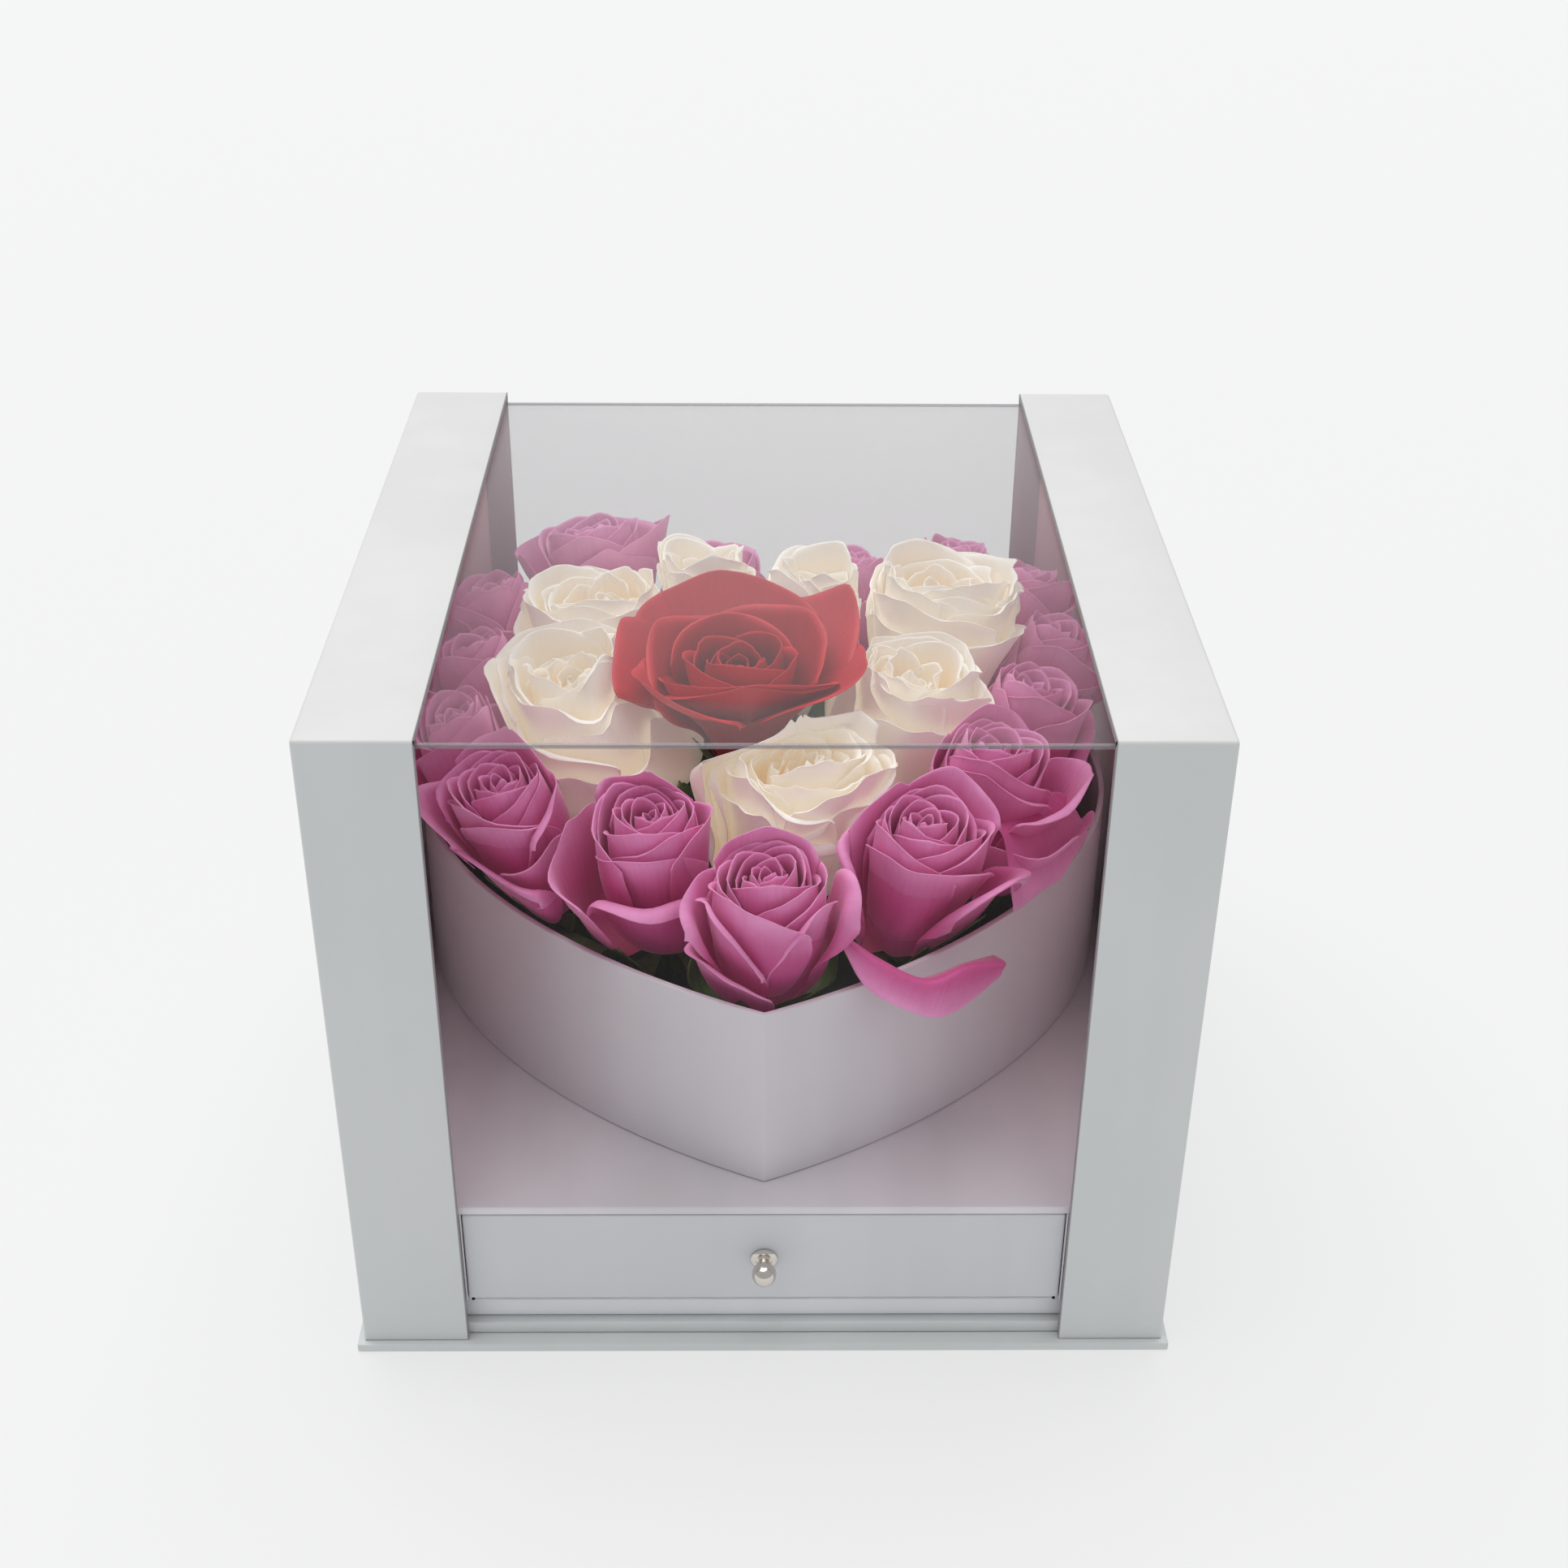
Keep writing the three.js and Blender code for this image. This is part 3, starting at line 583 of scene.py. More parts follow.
PINK_ROSES = [
    rose(1, -90, 155, 10, 28, outer=UPRIGHT_ROLLS),
    rose(49, -66, 158, 10, 30, turn=1.98, outer=SQUARE_CUP, dropped=[HANGING_PETAL]),
    rose(72, -26, 161, 12, 30, outer=BROAD_RIGHT, dropped=[RIM_PETAL]),
    rose(88, 15, 161, 16, 28),
    rose(99, 54, 161, 16, 27, turn=3.9),
    rose(95, 90, 164, 18, 28),
    rose(71, 100, 169, 16, 28),
    rose(30, 95, 168, 14, 28),
    rose(-18, 94, 169, 14, 28),
    rose(-63, 96, 178, 16, 31, outer=WIDE_OPEN),
    rose(-96, 79, 164, 18, 28),
    rose(-98, 38, 162, 16, 28, turn=2.3),
    rose(-99, -5, 161, 14, 28),
    rose(-82, -46, 160, 12, 30, turn=0.2, outer=LEFT_FRONT_ROLL),
    rose(-35, -62, 159, 10, 30, turn=1.13, outer=FRONT_RIGHT_ROLL),
]
RAISED_BACK = [
    outer_petal(95, 0.92, 1.1, 1.5, 3, 3, wave=0.03, rounding=0.04),
    outer_petal(165, 1.2, 1.1, 0.75, 4, 3, wave=0.03, rounding=0.06),
    outer_petal(-50, 0.84, 0.8, 1.1, 6, 3, wave=0.05),
    outer_petal(-118, 0.8, 0.78, 1.1, 6, 3, wave=0.05),
    outer_petal(5, 0.92, 0.88, 1.1, 5, 3, wave=0.04),
]
DROOPING = [
    outer_petal(90, 0.96, 1.04, 1.3, 4, 3, wave=0.05),
    outer_petal(165, 1.06, 0.92, 1.1, 6, 3.4, wave=0.05),
    outer_petal(-125, 1.0, 0.78, 1.0, 5, 3.4, wave=0.05),
    outer_petal(-60, 0.94, 0.84, 1.0, 5, 3.4, wave=0.05),
    outer_petal(-30, 1.15, 0.64, 1.0, 5, 3, wave=0.05),
    outer_petal(-95, 1.12, 0.56, 0.9, 4, 2.6, wave=0.07),
]
CREAM_ROSES = [
    rose(12, -33, 164, 6, 39, outer=RAISED_BACK, kept=-1),
    rose(49, 8, 172, 5, 41),
    rose(61, 57, 180, 5, 46),
    rose(20, 61, 179, 3, 34),
    rose(-23, 66, 181, 3, 34),
    rose(-54, 57, 176, 6, 45),
    rose(-61, 8, 172, 6, 43, outer=DROOPING, kept=-1),
]
BROAD_RED = [
    saucer_petal(100, 0.88, 0.99, 1.0, 2.5, 4, tip=0.03, across=34),
    saucer_petal(40, 0.98, 0.93, 0.85, 5, 4, tip=0.1, across=34),
    saucer_petal(-25, 0.9, 0.9, 0.95, 3, 4, tip=0.04, across=34),
    saucer_petal(-80, 0.66, 0.95, 1.15, 4, 4, across=36),
    saucer_petal(-138, 0.76, 0.94, 0.95, 4, 4, across=36),
    saucer_petal(158, 0.98, 0.92, 0.9, 5, 4, across=36),
]
RED_ROSES = [rose(-8, 3, 184, 0, 55, over=30, outer=BROAD_RED, kept=None)]

# The curves of the petals, from the coil in a bloom's middle to its open outer petals.
COIL = [(0.04, 0.4), (0.14, 0.62), (0.13, 0.84), (0.07, 0.94)]
CORE = [(0.12, 0.4), (0.24, 0.6), (0.24, 0.84), (0.17, 0.97)]
TIGHT = [(0.18, 0.38), (0.36, 0.6), (0.35, 0.84), (0.28, 0.99)]
FOLDED = [(0.24, 0.34), (0.5, 0.52), (0.44, 0.84), (0.4, 1.0)]
CLOSED = [(0.3, 0.26), (0.62, 0.42), (0.54, 0.82), (0.52, 0.99)]
CUPPED = [(0.32, 0.18), (0.72, 0.3), (0.62, 0.78), (0.61, 0.98)]
LOOSE = [(0.28, 0.1), (0.82, 0.2), (0.7, 0.76), (0.74, 0.94)]
OPEN = [(0.2, 0.03), (0.82, 0.1), (0.8, 0.64), (0.96, 0.8)]
PINK_BLOOM = {
    "height": 56,
    "whorls": [
        whorl(2, 2.6, COIL, wrap=0.3, ring=2.2, along=8),
        whorl(3, 1.7, CORE, wrap=0.2, ring=1.1, along=8, roll=(0.8, 1.0)),
        whorl(3, 1.5, TIGHT, wrap=0.14, ring=0.0, along=9, roll=(1.2, 1.4)),
        whorl(3, 1.45, FOLDED, ring=0.6, along=10, rounding=0.14, roll=(1.4, 1.6)),
        whorl(3, 1.4, CLOSED, ring=1.3, across=18, rounding=0.18, roll=(1.8, 1.6)),
        whorl(3, 1.4, CUPPED, ring=1.9, across=22, along=14, rounding=0.2, roll=(2.4, 1.8)),
        whorl(
            3, 1.25, LOOSE, ring=2.9, across=24, along=18, rounding=0.22, roll=(3.5, 2.2), loose=0.1
        ),
        whorl(
            3, 1.2, OPEN, ring=3.8, across=28, along=24, rounding=0.2, roll=(7.0, 3.2), loose=0.16
        ),
    ],
}
SUNKEN = [(0.1, 0.4), (0.2, 0.54), (0.2, 0.74), (0.14, 0.84)]
SHALLOW = [(0.16, 0.38), (0.33, 0.55), (0.32, 0.76), (0.27, 0.88)]
BOWL = [(0.24, 0.34), (0.5, 0.48), (0.44, 0.78), (0.42, 0.93)]
RUFFLED = {"beats": (4, 8, 14), "rounding": 0.1}
FINE = {"across": 32, "along": 16} | RUFFLED
FINER = {"across": 38, "along": 20} | RUFFLED
FINEST = {"across": 42, "along": 24} | RUFFLED
CREAM_BLOOM = {
    "height": 56,
    "whorls": [
        whorl(3, 1.4, SUNKEN, ring=2.2, along=8, wave=0.02, loose=0.2, **RUFFLED),
        whorl(4, 1.0, SUNKEN, ring=0.4, along=8, wave=0.03, loose=0.35, **RUFFLED),
        whorl(5, 0.9, SHALLOW, ring=1.1, along=9, wave=0.03, roll=(1.4, 1.6), loose=0.3, **RUFFLED),
        whorl(4, 1.1, BOWL, wave=0.025, roll=(2.2, 2), loose=0.25, across=18, **RUFFLED),
        whorl(4, 1.15, CLOSED, ring=0.6, wave=0.03, roll=(3, 2.2), loose=0.2, across=22, **RUFFLED),
        whorl(4, 1.15, CUPPED, ring=1.9, wave=0.035, roll=(4, 2.8), loose=0.16, **FINE),
        whorl(4, 1.15, LOOSE, ring=2.6, wave=0.04, roll=(5, 3.2), loose=0.14, **FINER),
        whorl(4, 1.15, OPEN, ring=3.8, wave=0.045, roll=(6, 3.6), loose=0.1, **FINEST),
    ],
}
RED_COIL = [(0.04, 0.4), (0.12, 0.56), (0.11, 0.72), (0.06, 0.8)]
RED_FOLD = [(0.1, 0.1), (0.28, 0.6), (0.46, 0.68), (0.4, 0.92)]
RED_CUP = [(0.12, 0.05), (0.3, 0.62), (0.62, 0.66), (0.57, 0.94)]
RED_BLOOM = {
    "height": 60,
    "whorls": [
        whorl(2, 2.5, RED_COIL, wrap=0.3, ring=2.2, along=8),
        whorl(3, 1.6, SUNKEN, wrap=0.2, ring=1.1, along=8, roll=(1.0, 1.2)),
        whorl(3, 1.4, SHALLOW, wrap=0.2, ring=0.0, along=9, roll=(1.2, 1.4), loose=0.14),
        whorl(3, 1.35, RED_FOLD, ring=1.3, roll=(2.4, 2.0), loose=0.24, across=20, rounding=0.14),
        whorl(
            3, 1.3, RED_CUP, ring=2.4, across=26, along=18, rounding=0.14, roll=(4, 2.6), loose=0.2
        ),
    ],
}
DROPPED = whorl(1, 1, OPEN, roll=(3.0, 2.4), across=30, along=26)
HEART_MIDDLE = np.array([0, -1, 0]) * MM
SWIRL_HEIGHT = 0.95
MIDDLE_HEIGHT = 0.75
GOLDEN_TURN = 2.4


def planted(row, bloom, index):
    """A rose with the line of its stem and two directions across it, in metres."""
    swirl = np.array(row["swirl"]) * MM
    outward = (swirl - HEART_MIDDLE) * (1, 1, 0)
    outward /= np.linalg.norm(outward)
    lean = radians(row["lean"])
    axis = outward * sin(lean) + np.array([0, 0, cos(lean)])
    height = bloom["height"] * MM
    root = swirl - axis * SWIRL_HEIGHT * height
    right = np.cross((0, 1, 0), axis)
    right /= np.linalg.norm(right)
    return {
        "axis": axis,
        "root": root,
        "right": right,
        "ahead": np.cross(axis, right),
        "middle": root + axis * MIDDLE_HEIGHT * height,
        "height": height,
        "reach": row["reach"] * MM,
        "over": row["over"] * MM,
        "turn": row.get("turn", GOLDEN_TURN * index),
        "whorls": bloom["whorls"][: row.get("kept")] + row.get("outer", []),
        "dropped": row.get("dropped", []),
        "seed": index,
    }


rows = [(row, PINK_BLOOM) for row in PINK_ROSES]
rows += [(row, CREAM_BLOOM) for row in CREAM_ROSES]
rows += [(row, RED_BLOOM) for row in RED_ROSES]
roses = [planted(row, bloom, index) for index, (row, bloom) in enumerate(rows)]

# What hems a bloom in: the blooms round it, the sleeve and the window, and the heart box's rim.
INNER_SIDE = 122.5 * MM
FILM_IN = 122.6 * MM
RIM_SLOPE = 0.8
RIM_REACH = 60 * MM
RIM_FACETS = 8
CLEARANCE = 1.0 * MM
rim_points = heart_outline(HEART_WALL, RIM_FACETS)


def hemming_planes(one):
    """The planes that a bloom keeps to one side of: their normals, and how far out they lie."""
    planes = []
    for other in roses:
        if other is one:
            continue
        share = one["reach"] ** 2 / (one["reach"] ** 2 + other["reach"] ** 2)
        way = other["middle"] - one["middle"]
        normal = way + np.array([0, 0, other["over"] - one["over"]])
        planes.append((normal, one["middle"] + share * way))
    for side in (-1, 1):
        planes.append((np.array([side, 0, 0]), np.array([side * INNER_SIDE, 0, 0])))
        planes.append((np.array([0, side, 0]), np.array([0, side * FILM_IN, 0])))
    for point, following in zip(rim_points, np.roll(rim_points, -1, 0)):
        along = (following - point) / np.linalg.norm(following - point)
        near = np.linalg.norm(point - one["root"][:2]) < RIM_REACH
        same_lobe = point[1] < HEART["widest"] or (point[0] + following[0]) * one["root"][0] >= 0
        if near and same_lobe:
            planes.append((np.array([along[1], -along[0], -RIM_SLOPE]), np.array([*point, rim])))
    normals = np.array([normal / np.linalg.norm(normal) for normal, _ in planes])
    points = np.array([point for _, point in planes])
    return normals, (normals * points).sum(1) - CLEARANCE


for one in roses:
    one["planes"] = hemming_planes(one)

LIP_REACH = 1.12
SOFTNESS = 12
LEAST_ROOM = 2 * MM
LEAST_TOWARDS = 1e-3
TINY = 1e-9


def smooth_rise(values, first, last):
    """0 below the first value and 1 above the last, with a smooth rise."""
    share = np.clip((values - first) / (last - first), 0, 1)
    return share * share * (3 - 2 * share)


def pressed(one, local):
    """Places of a bloom that stands free, pressed in towards the stem line where it has no room."""
    radius = np.hypot(local[:, 0], local[:, 1])
    across = local[:, :1] * one["right"] + local[:, 1:2] * one["ahead"]
    across /= np.maximum(radius, TINY)[:, None]
    foot = one["root"] + local[:, 2:] * one["axis"]
    normals, offsets = one["planes"]
    towards = np.maximum(across @ normals.T, LEAST_TOWARDS)
    room = np.maximum(LEAST_ROOM, offsets - foot @ normals.T) / towards
    widest = 0.5 + 0.5 * smooth_rise(local[:, 2] / one["height"], 0, 0.5)
    free = np.maximum(LIP_REACH * one["reach"] * widest, radius)
    share = (1 + ((free[:, None] / room) ** SOFTNESS).sum(1)) ** (-1 / SOFTNESS)
    return foot + across * (radius * share ** (radius / free))[:, None]


TALLEST = 1.1
POINT_BREADTH = 0.22
POINT_POWER = 10
RIPPLE_POWER = 6
ROUNDING_POWER = 2.2


def petal_sheet(one, layer, turn, chance):
    """A petal as a smooth sheet: the function from its breadth u and length v to a free place."""
    waves = chance.uniform(0, tau, 3)
    beats = chance.uniform(0.8, 1.25, 3) * layer["beats"]
    lift = 1 + layer["loose"] * chance.uniform(-0.5, 0.3)
    widen = 1 + layer["loose"] * chance.uniform(-0.6, 0.8)

    def sheet(u, v):
        out, up = bezier(layer["curve"], v).T
        spread = 0.5 + 0.5 * np.sin(pi * np.minimum(0.62, 0.1 + 0.6 * v))
        angle = turn + layer["half"] * spread * u * (1 - v**2) ** layer["taper"]
        ripple = sum(
            np.sin(beat * u + wave) / (1 + 0.4 * k)
            for k, (beat, wave) in enumerate(zip(beats, waves))
        )
        out = out * (1 + layer["wrap"] * u) * widen + layer["wave"] * ripple * v**RIPPLE_POWER
        point = layer["tip"] * np.exp(-((u / POINT_BREADTH) ** 2)) * v**POINT_POWER
        up = up * (1 - layer["rounding"] * np.abs(u) ** ROUNDING_POWER * v) * lift + point
        up = np.minimum(up, TALLEST)
        radius, height = out * one["reach"], up * one["height"]
        return np.stack([radius * np.cos(angle), radius * np.sin(angle), height], 1)

    return sheet


def unit(vectors):
    """Each vector at a length of one."""
    return vectors / np.maximum(np.linalg.norm(vectors, axis=1), 1e-12)[:, None]


SHOULDER = 0.45
SWAY = 0.3
MEASURED = 0.9
SIDE_ROLL = (0.35, 0.85)
SHORT_STEP = 1e-3


def rolled(sheet, layer, u, v, chance):
    """A petal's places with its lip and the upper part of its sides rolled outwards."""
    depth, radius = layer["roll"]
    if not depth:
        return sheet(u, v)
    step = SHORT_STEP
    beat, wave = chance.uniform(1.5, 4.0), chance.uniform(0, tau)
    shoulder = layer["tip_roll"] + (1 - layer["tip_roll"]) * np.minimum(1, np.abs(u) / SHOULDER)
    depth = depth * MM * shoulder * (1 + SWAY * np.sin(beat * u + wave))
    radius = radius * MM
    up, aside = MEASURED + 0 * v, MEASURED * u
    along = np.linalg.norm(sheet(u, up) - sheet(u, up - step), axis=1) / step
    broad = np.linalg.norm(sheet(aside, v) - sheet(aside - step, v), axis=1) / step
    over_lip = np.maximum(0, depth - (1 - v) * along)
    side_depth = depth * smooth_rise(v, *SIDE_ROLL)
    over_side = np.maximum(0, side_depth - (1 - np.abs(u)) * broad)
    inner_v = v - over_lip / along
    inner_u = u - np.sign(u) * over_side / broad
    base = sheet(inner_u, inner_v)
    crosswise = unit(sheet(inner_u + step, inner_v) - sheet(inner_u - step, inner_v))
    lengthwise = unit(sheet(inner_u, inner_v + step) - sheet(inner_u, inner_v - step))
    outwards = unit(np.cross(crosswise, lengthwise))
    over = np.hypot(over_lip, over_side)
    way = crosswise * (np.sign(u) * over_side)[:, None] + lengthwise * over_lip[:, None]
    way /= np.maximum(over, TINY)[:, None]
    bend = over / radius
    forward = radius * np.sin(bend)
    backward = radius * (1 - np.cos(bend))
    return base + way * forward[:, None] + outwards * backward[:, None]


PETAL_THICK = 0.25 * MM
SIDE_CROWDING = 1.3
LIP_CROWDING = 1.5
BLOOM_SEED = 7
blanks = {}


def petal_blank(across, along):
    """A flat petal blank, cut once for each count of faces and copied for each petal."""
    if (across, along) not in blanks:
        bpy.ops.object.select_all(action="DESELECT")
        bpy.ops.mesh.primitive_grid_add(x_subdivisions=across, y_subdivisions=along, size=2)
        blank = bpy.context.object
        blank.name = "petal_blank"
        blanks[across, along] = blank
    blank = blanks[across, along]
    petal = blank.copy()
    petal.data = blank.data.copy()
    bpy.context.scene.collection.objects.link(petal)
    return petal


def shaped(layer, level, chance, sheet, press=lambda places: places):
    """A petal blank laid on its sheet, its faces closer together at its edges. How far out in the
    bloom it lies, and the places along and across it, are kept for its colour."""
    petal = petal_blank(layer["across"], layer["along"])
    flat = np.empty(len(petal.data.vertices) * 3)
    petal.data.vertices.foreach_get("co", flat)
    flat = flat.reshape(-1, 3)
    u = np.sign(flat[:, 0]) * (1 - (1 - np.abs(flat[:, 0])) ** SIDE_CROWDING)
    v = 1 - (1 - (flat[:, 1] + 1) / 2) ** LIP_CROWDING
    petal.data.vertices.foreach_set("co", press(rolled(sheet, layer, u, v, chance)).ravel())
    for name, values in (("outer", np.full(len(u), level)), ("length", v), ("breadth", u)):
        kept = petal.data.attributes.new(name, "FLOAT", "POINT")
        kept.data.foreach_set("value", values.astype(np.float32))
    return petal


def through(places, share):
    """Places on a smooth line that runs through some places, at shares from -1 to 1."""
    places = [np.asarray(place, float) for place in places]
    places = [2 * places[0] - places[1], *places, 2 * places[-1] - places[-2]]
    spans = len(places) - 3
    way = (share + 1) / 2 * spans
    span = np.clip(np.floor(way), 0, spans - 1)
    line = 0
    for k in range(spans):
        a, b, c, d = places[k : k + 4]
        t = np.clip(way - k, 0, 1)[:, None]
        curve = b + t * (c - a + t * (2 * a - 5 * b + 4 * c - d + t * (3 * b - 3 * c + d - a))) / 2
        line = line + (span == k)[:, None] * curve
    return line


def dropped_petal(places, layer, level, chance):
    """A petal that has dropped open, through places across its root, its middle and its lip."""

    def sheet(u, v):
        rows = [through(row, u) for row in places]
        return through(rows, 2 * v - 1) * MM

    return shaped(layer, level, chance, sheet)


def bloom(one, name):
    """A whole bloom: its whorls of petals from the coil outwards, each petal with its thickness."""
    chance = np.random.default_rng(one["seed"] + BLOOM_SEED)
    petals = [dropped_petal(places, DROPPED, 1, chance) for places in one["dropped"]]
    last = sum("facing" not in layer for layer in one["whorls"])
    for level, layer in enumerate(one["whorls"]):
        for i in range(layer["count"]):
            stray = layer["loose"] * chance.uniform(-1, 1)
            evenly = one["turn"] + layer["ring"] + tau * i / layer["count"] + stray
            sheet = petal_sheet(one, layer, layer.get("facing", evenly), chance)
            depth = min(1, level / last)
            petals.append(shaped(layer, depth, chance, sheet, lambda p: pressed(one, p)))
    whole = joined(petals, name)
    finished(whole, "SOLIDIFY", thickness=PETAL_THICK, offset=0)
    bpy.ops.object.shade_smooth()
    return whole


VEINS = {"across": 22, "along": 2.5, "apart": 9}


def petal_finish(name, heart, body, lip, root, vein, sheen, rough=0.5, glow=0.05):
    """A petal's skin: deep at the bloom's heart, paler to the lip, with fine veins along it. The
    pale lip is partly the petal's own colour and partly a painted highlight. A faint painted glow,
    emission in the petal's own colour, stands in for light that comes through the petals."""
    material, tone, shader = finish(name)
    outer, length, breadth = (
        tone.node("ShaderNodeAttribute", {"attribute_name": key}, output="Fac")
        for key in ("outer", "length", "breadth")
    )
    places = tone.places()
    mottle = tone.noise(places, 90, 3)
    axes = {"X": breadth * VEINS["across"], "Y": length * VEINS["along"]}
    axes["Z"] = outer * VEINS["apart"]
    veins = tone.noise(tone.node("ShaderNodeCombineXYZ", inputs=axes), 1.0, 3, 0.6)
    flesh = (outer * 1.1 + mottle * 0.5 - 0.25).held().colours(heart, body)
    # Painted highlight: the lip is painted paler, most at its very edge, partly the petal's own
    # paler lip and partly the light that catches it.
    edge = length.between(0.55, 1.0) * (0.35 + mottle * 0.8) + length.between(0.8, 1.0) * 0.2
    lip_and_painted_highlight = edge.held().colours(flesh, lip)
    rooted = length.between(0.0, 0.4).colours(root, lip_and_painted_highlight)
    veined = (veins.between(0.45, 0.8) * vein).held().colours(rooted, heart, "MULTIPLY")
    tone.feed(
        shader,
        {
            "Base Color": veined,
            "Roughness": rough + mottle * 0.15,
            "Normal": tone.bump(veins + mottle * 0.4, 0.3 * MM, 0.5),
            "Sheen Weight": sheen,
            "Sheen Roughness": 0.35,
            "Subsurface Weight": 0.15,
            "Subsurface Radius": (1.0, 0.5, 0.5),
            "Subsurface Scale": 3 * MM,
            # Painted glow: the petal's own colour is given off faintly, for light that comes
            # through it.
            "Emission Color": veined,
            "Emission Strength": glow,
        },
    )
    return material


pink_petal = petal_finish(
    "pink_petal",
    heart=(0.4, 0.012, 0.125),
    body=(0.61, 0.08, 0.28),
    lip=(0.88, 0.32, 0.61),
    root=(0.78, 0.2, 0.36),
    vein=0.14,
    sheen=0.3,
)
cream_petal = petal_finish(
    "cream_petal",
    heart=(0.95, 0.77, 0.52),
    body=(0.965, 0.885, 0.77),
    lip=(0.97, 0.925, 0.85),
    root=(0.92, 0.7, 0.52),
    vein=0.05,
    sheen=0.08,
    # A stronger painted glow lifts the cream petals.
    glow=0.115,
)
red_petal = petal_finish(
    "red_petal",
    heart=(0.16, 0.001, 0.006),
    body=(0.4, 0.004, 0.014),
    lip=(0.62, 0.008, 0.022),
    root=(0.22, 0.003, 0.01),
    vein=0.2,
    sheen=0.03,
    rough=0.45,
)
BLOOMS = [
    ("pink_rose", len(PINK_ROSES), pink_petal, "mauve_pink_petals"),
    ("cream_rose", len(CREAM_ROSES), cream_petal, "cream_petals"),
    ("red_rose", len(RED_ROSES), red_petal, "red_petals"),
]
growing = iter(roses)
for kind, count, material, slot in BLOOMS:
    for number in range(1, count + 1):
        flower = bloom(next(growing), f"{kind}_{number}_petals")
        placed(flower, material, slot, "box", f"{kind}_{number}")


# Stems. Each is a cut green stalk in a hole of the foam, with its calyx under the bloom: a cup with
# five pointed sepals that lie against the petals. One narrow leaf shows at the front left, and
# belongs to the stem behind it.
stem_finish, tone, shader = finish("green_stem")
streaks = tone.noise(tone.stretched((500, 500, 40)), 1, 3)
tone.feed(
    shader,
    {
        "Base Color": streaks.colours((0.06, 0.13, 0.035), (0.17, 0.27, 0.09)),
        "Roughness": 0.5,
        "Normal": tone.bump(streaks, 0.4 * MM, 0.5),
    },
)
STEM = 2.2 * MM
STEM_SIDES = 12
STEM_DEPTH = 24 * MM
CALYX = 5.2 * MM
SEPAL_THICK = 0.5 * MM
SEPAL_TURN = 0.5
STEM_SEED = 70
LEAF_ROSE = 14
foam_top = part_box("floral_foam")[1].z
SEPALS = whorl(5, 0.36, [(0.14, -0.02), (0.85, -0.08), (0.9, 0.12), (0.96, 0.3)], taper=0.6)
SEPALS |= {"wrap": 0, "rounding": 0, "roll": (0, 1), "across": 6, "along": 10, "wave": 0.03}
LEAF = [
    [(-73, -41, 102), (-71, -41, 102), (-69, -41, 102)],
    [(-65, -59, 107), (-62, -57, 108.5), (-59, -55, 108)],
    [(-50.5, -76.5, 116), (-49, -75, 116.5), (-48, -73.5, 116)],
]


def standing(place, across, ahead, up):
    """The move that takes X, Y and Z to three directions at a place."""
    return Matrix.Translation(place) @ Matrix((across, ahead, up)).transposed().to_4x4()


stem_nodes = [f"{kind}_{n}_stem" for kind, count, _, _ in BLOOMS for n in range(1, count + 1)]
for one, node in zip(roses, stem_nodes):
    chance = np.random.default_rng(one["seed"] + STEM_SEED)
    foot = (foam_top - STEM_DEPTH + FIT - one["root"][2]) / one["axis"][2]
    rings = [(STEM, foot), (STEM, -8 * MM), (STEM + 0.6 * MM, -6 * MM), (CALYX - MM, -3 * MM)]
    rings += [(CALYX, -1.2 * MM), (CALYX - 0.4 * MM, -0.3 * MM)]
    stalk = drawn_out(rings, STEM_SIDES)
    stalk.data.transform(standing(one["root"], one["right"], one["ahead"], one["axis"]))
    greens = []
    for i in range(SEPALS["count"]):
        turn = one["turn"] + SEPAL_TURN + tau * i / SEPALS["count"]
        sheet = petal_sheet(one, SEPALS, turn, chance)
        greens.append(shaped(SEPALS, 1, chance, sheet, lambda p: pressed(one, p)))
    if one is roses[LEAF_ROSE - 1]:
        greens.append(dropped_petal(LEAF, {**SEPALS, "along": 20}, 1, chance))
    sepals = joined(greens, "sepals")
    finished(sepals, "SOLIDIFY", thickness=SEPAL_THICK, offset=0)
    stem = joined([stalk, sepals], f"{node}_green")
    bpy.ops.object.shade_smooth_by_angle(angle=radians(50))
    placed(stem, stem_finish, "green_stem", "box", node)
for blank in blanks.values():
    bpy.data.objects.remove(blank)


# Sleeve. A board on each side is creased and folded inwards at the front, the top and the back, and
# is wrapped in white paper. The film joins the two boards. The real sleeve lifts off the box whole;
# here it is tied to the box's body with the rest.
FOLD = 1.1 * MM
FOLDED_EDGE = 0.4 * MM
PAST_SIDE = (122.6 * MM, 122.8 * MM)
PAST_END = (123.6 * MM, 123.8 * MM)
PAST_TOP = (217.1 * MM, 217.3 * MM)
PAINTED_LIGHT_TOP = (218.8 * MM, 219.2 * MM)
SHADOW_GAP_EDGE = (92.9 * MM, 92.6 * MM)
SHADOW_GAP_DEPTH = 0.75
sleeve_paper, tone, shader = finish("sleeve_paper")
x, y, z = (tone.axis(letter) for letter in "XYZ")
outer_side = abs(x).between(*PAST_SIDE) + abs(y).between(*PAST_END) + z.between(*PAST_TOP)
cloud, streaks, mottled = paper_grain(tone, ALONG_Z)
sides = mottled.colours((0.65, 0.675, 0.67), (0.69, 0.71, 0.705))
# Painted light: the top faces are painted brighter and more neutral than the sides, as if lit from
# above.
top = mottled.colours((0.69, 0.685, 0.68), (0.73, 0.72, 0.715))
outside = z.between(*PAINTED_LIGHT_TOP).colours(sides, top)
# Painted reflection and light: the inner faces are painted a light streaked pink, for the roses'
# colour reflected on the white paper and for more light than they get.
inside = streaks.between(0.3, 0.7).colours((0.92, 0.72, 0.74), (0.98, 0.8, 0.82))
faces = outer_side.held().colours(inside, outside)
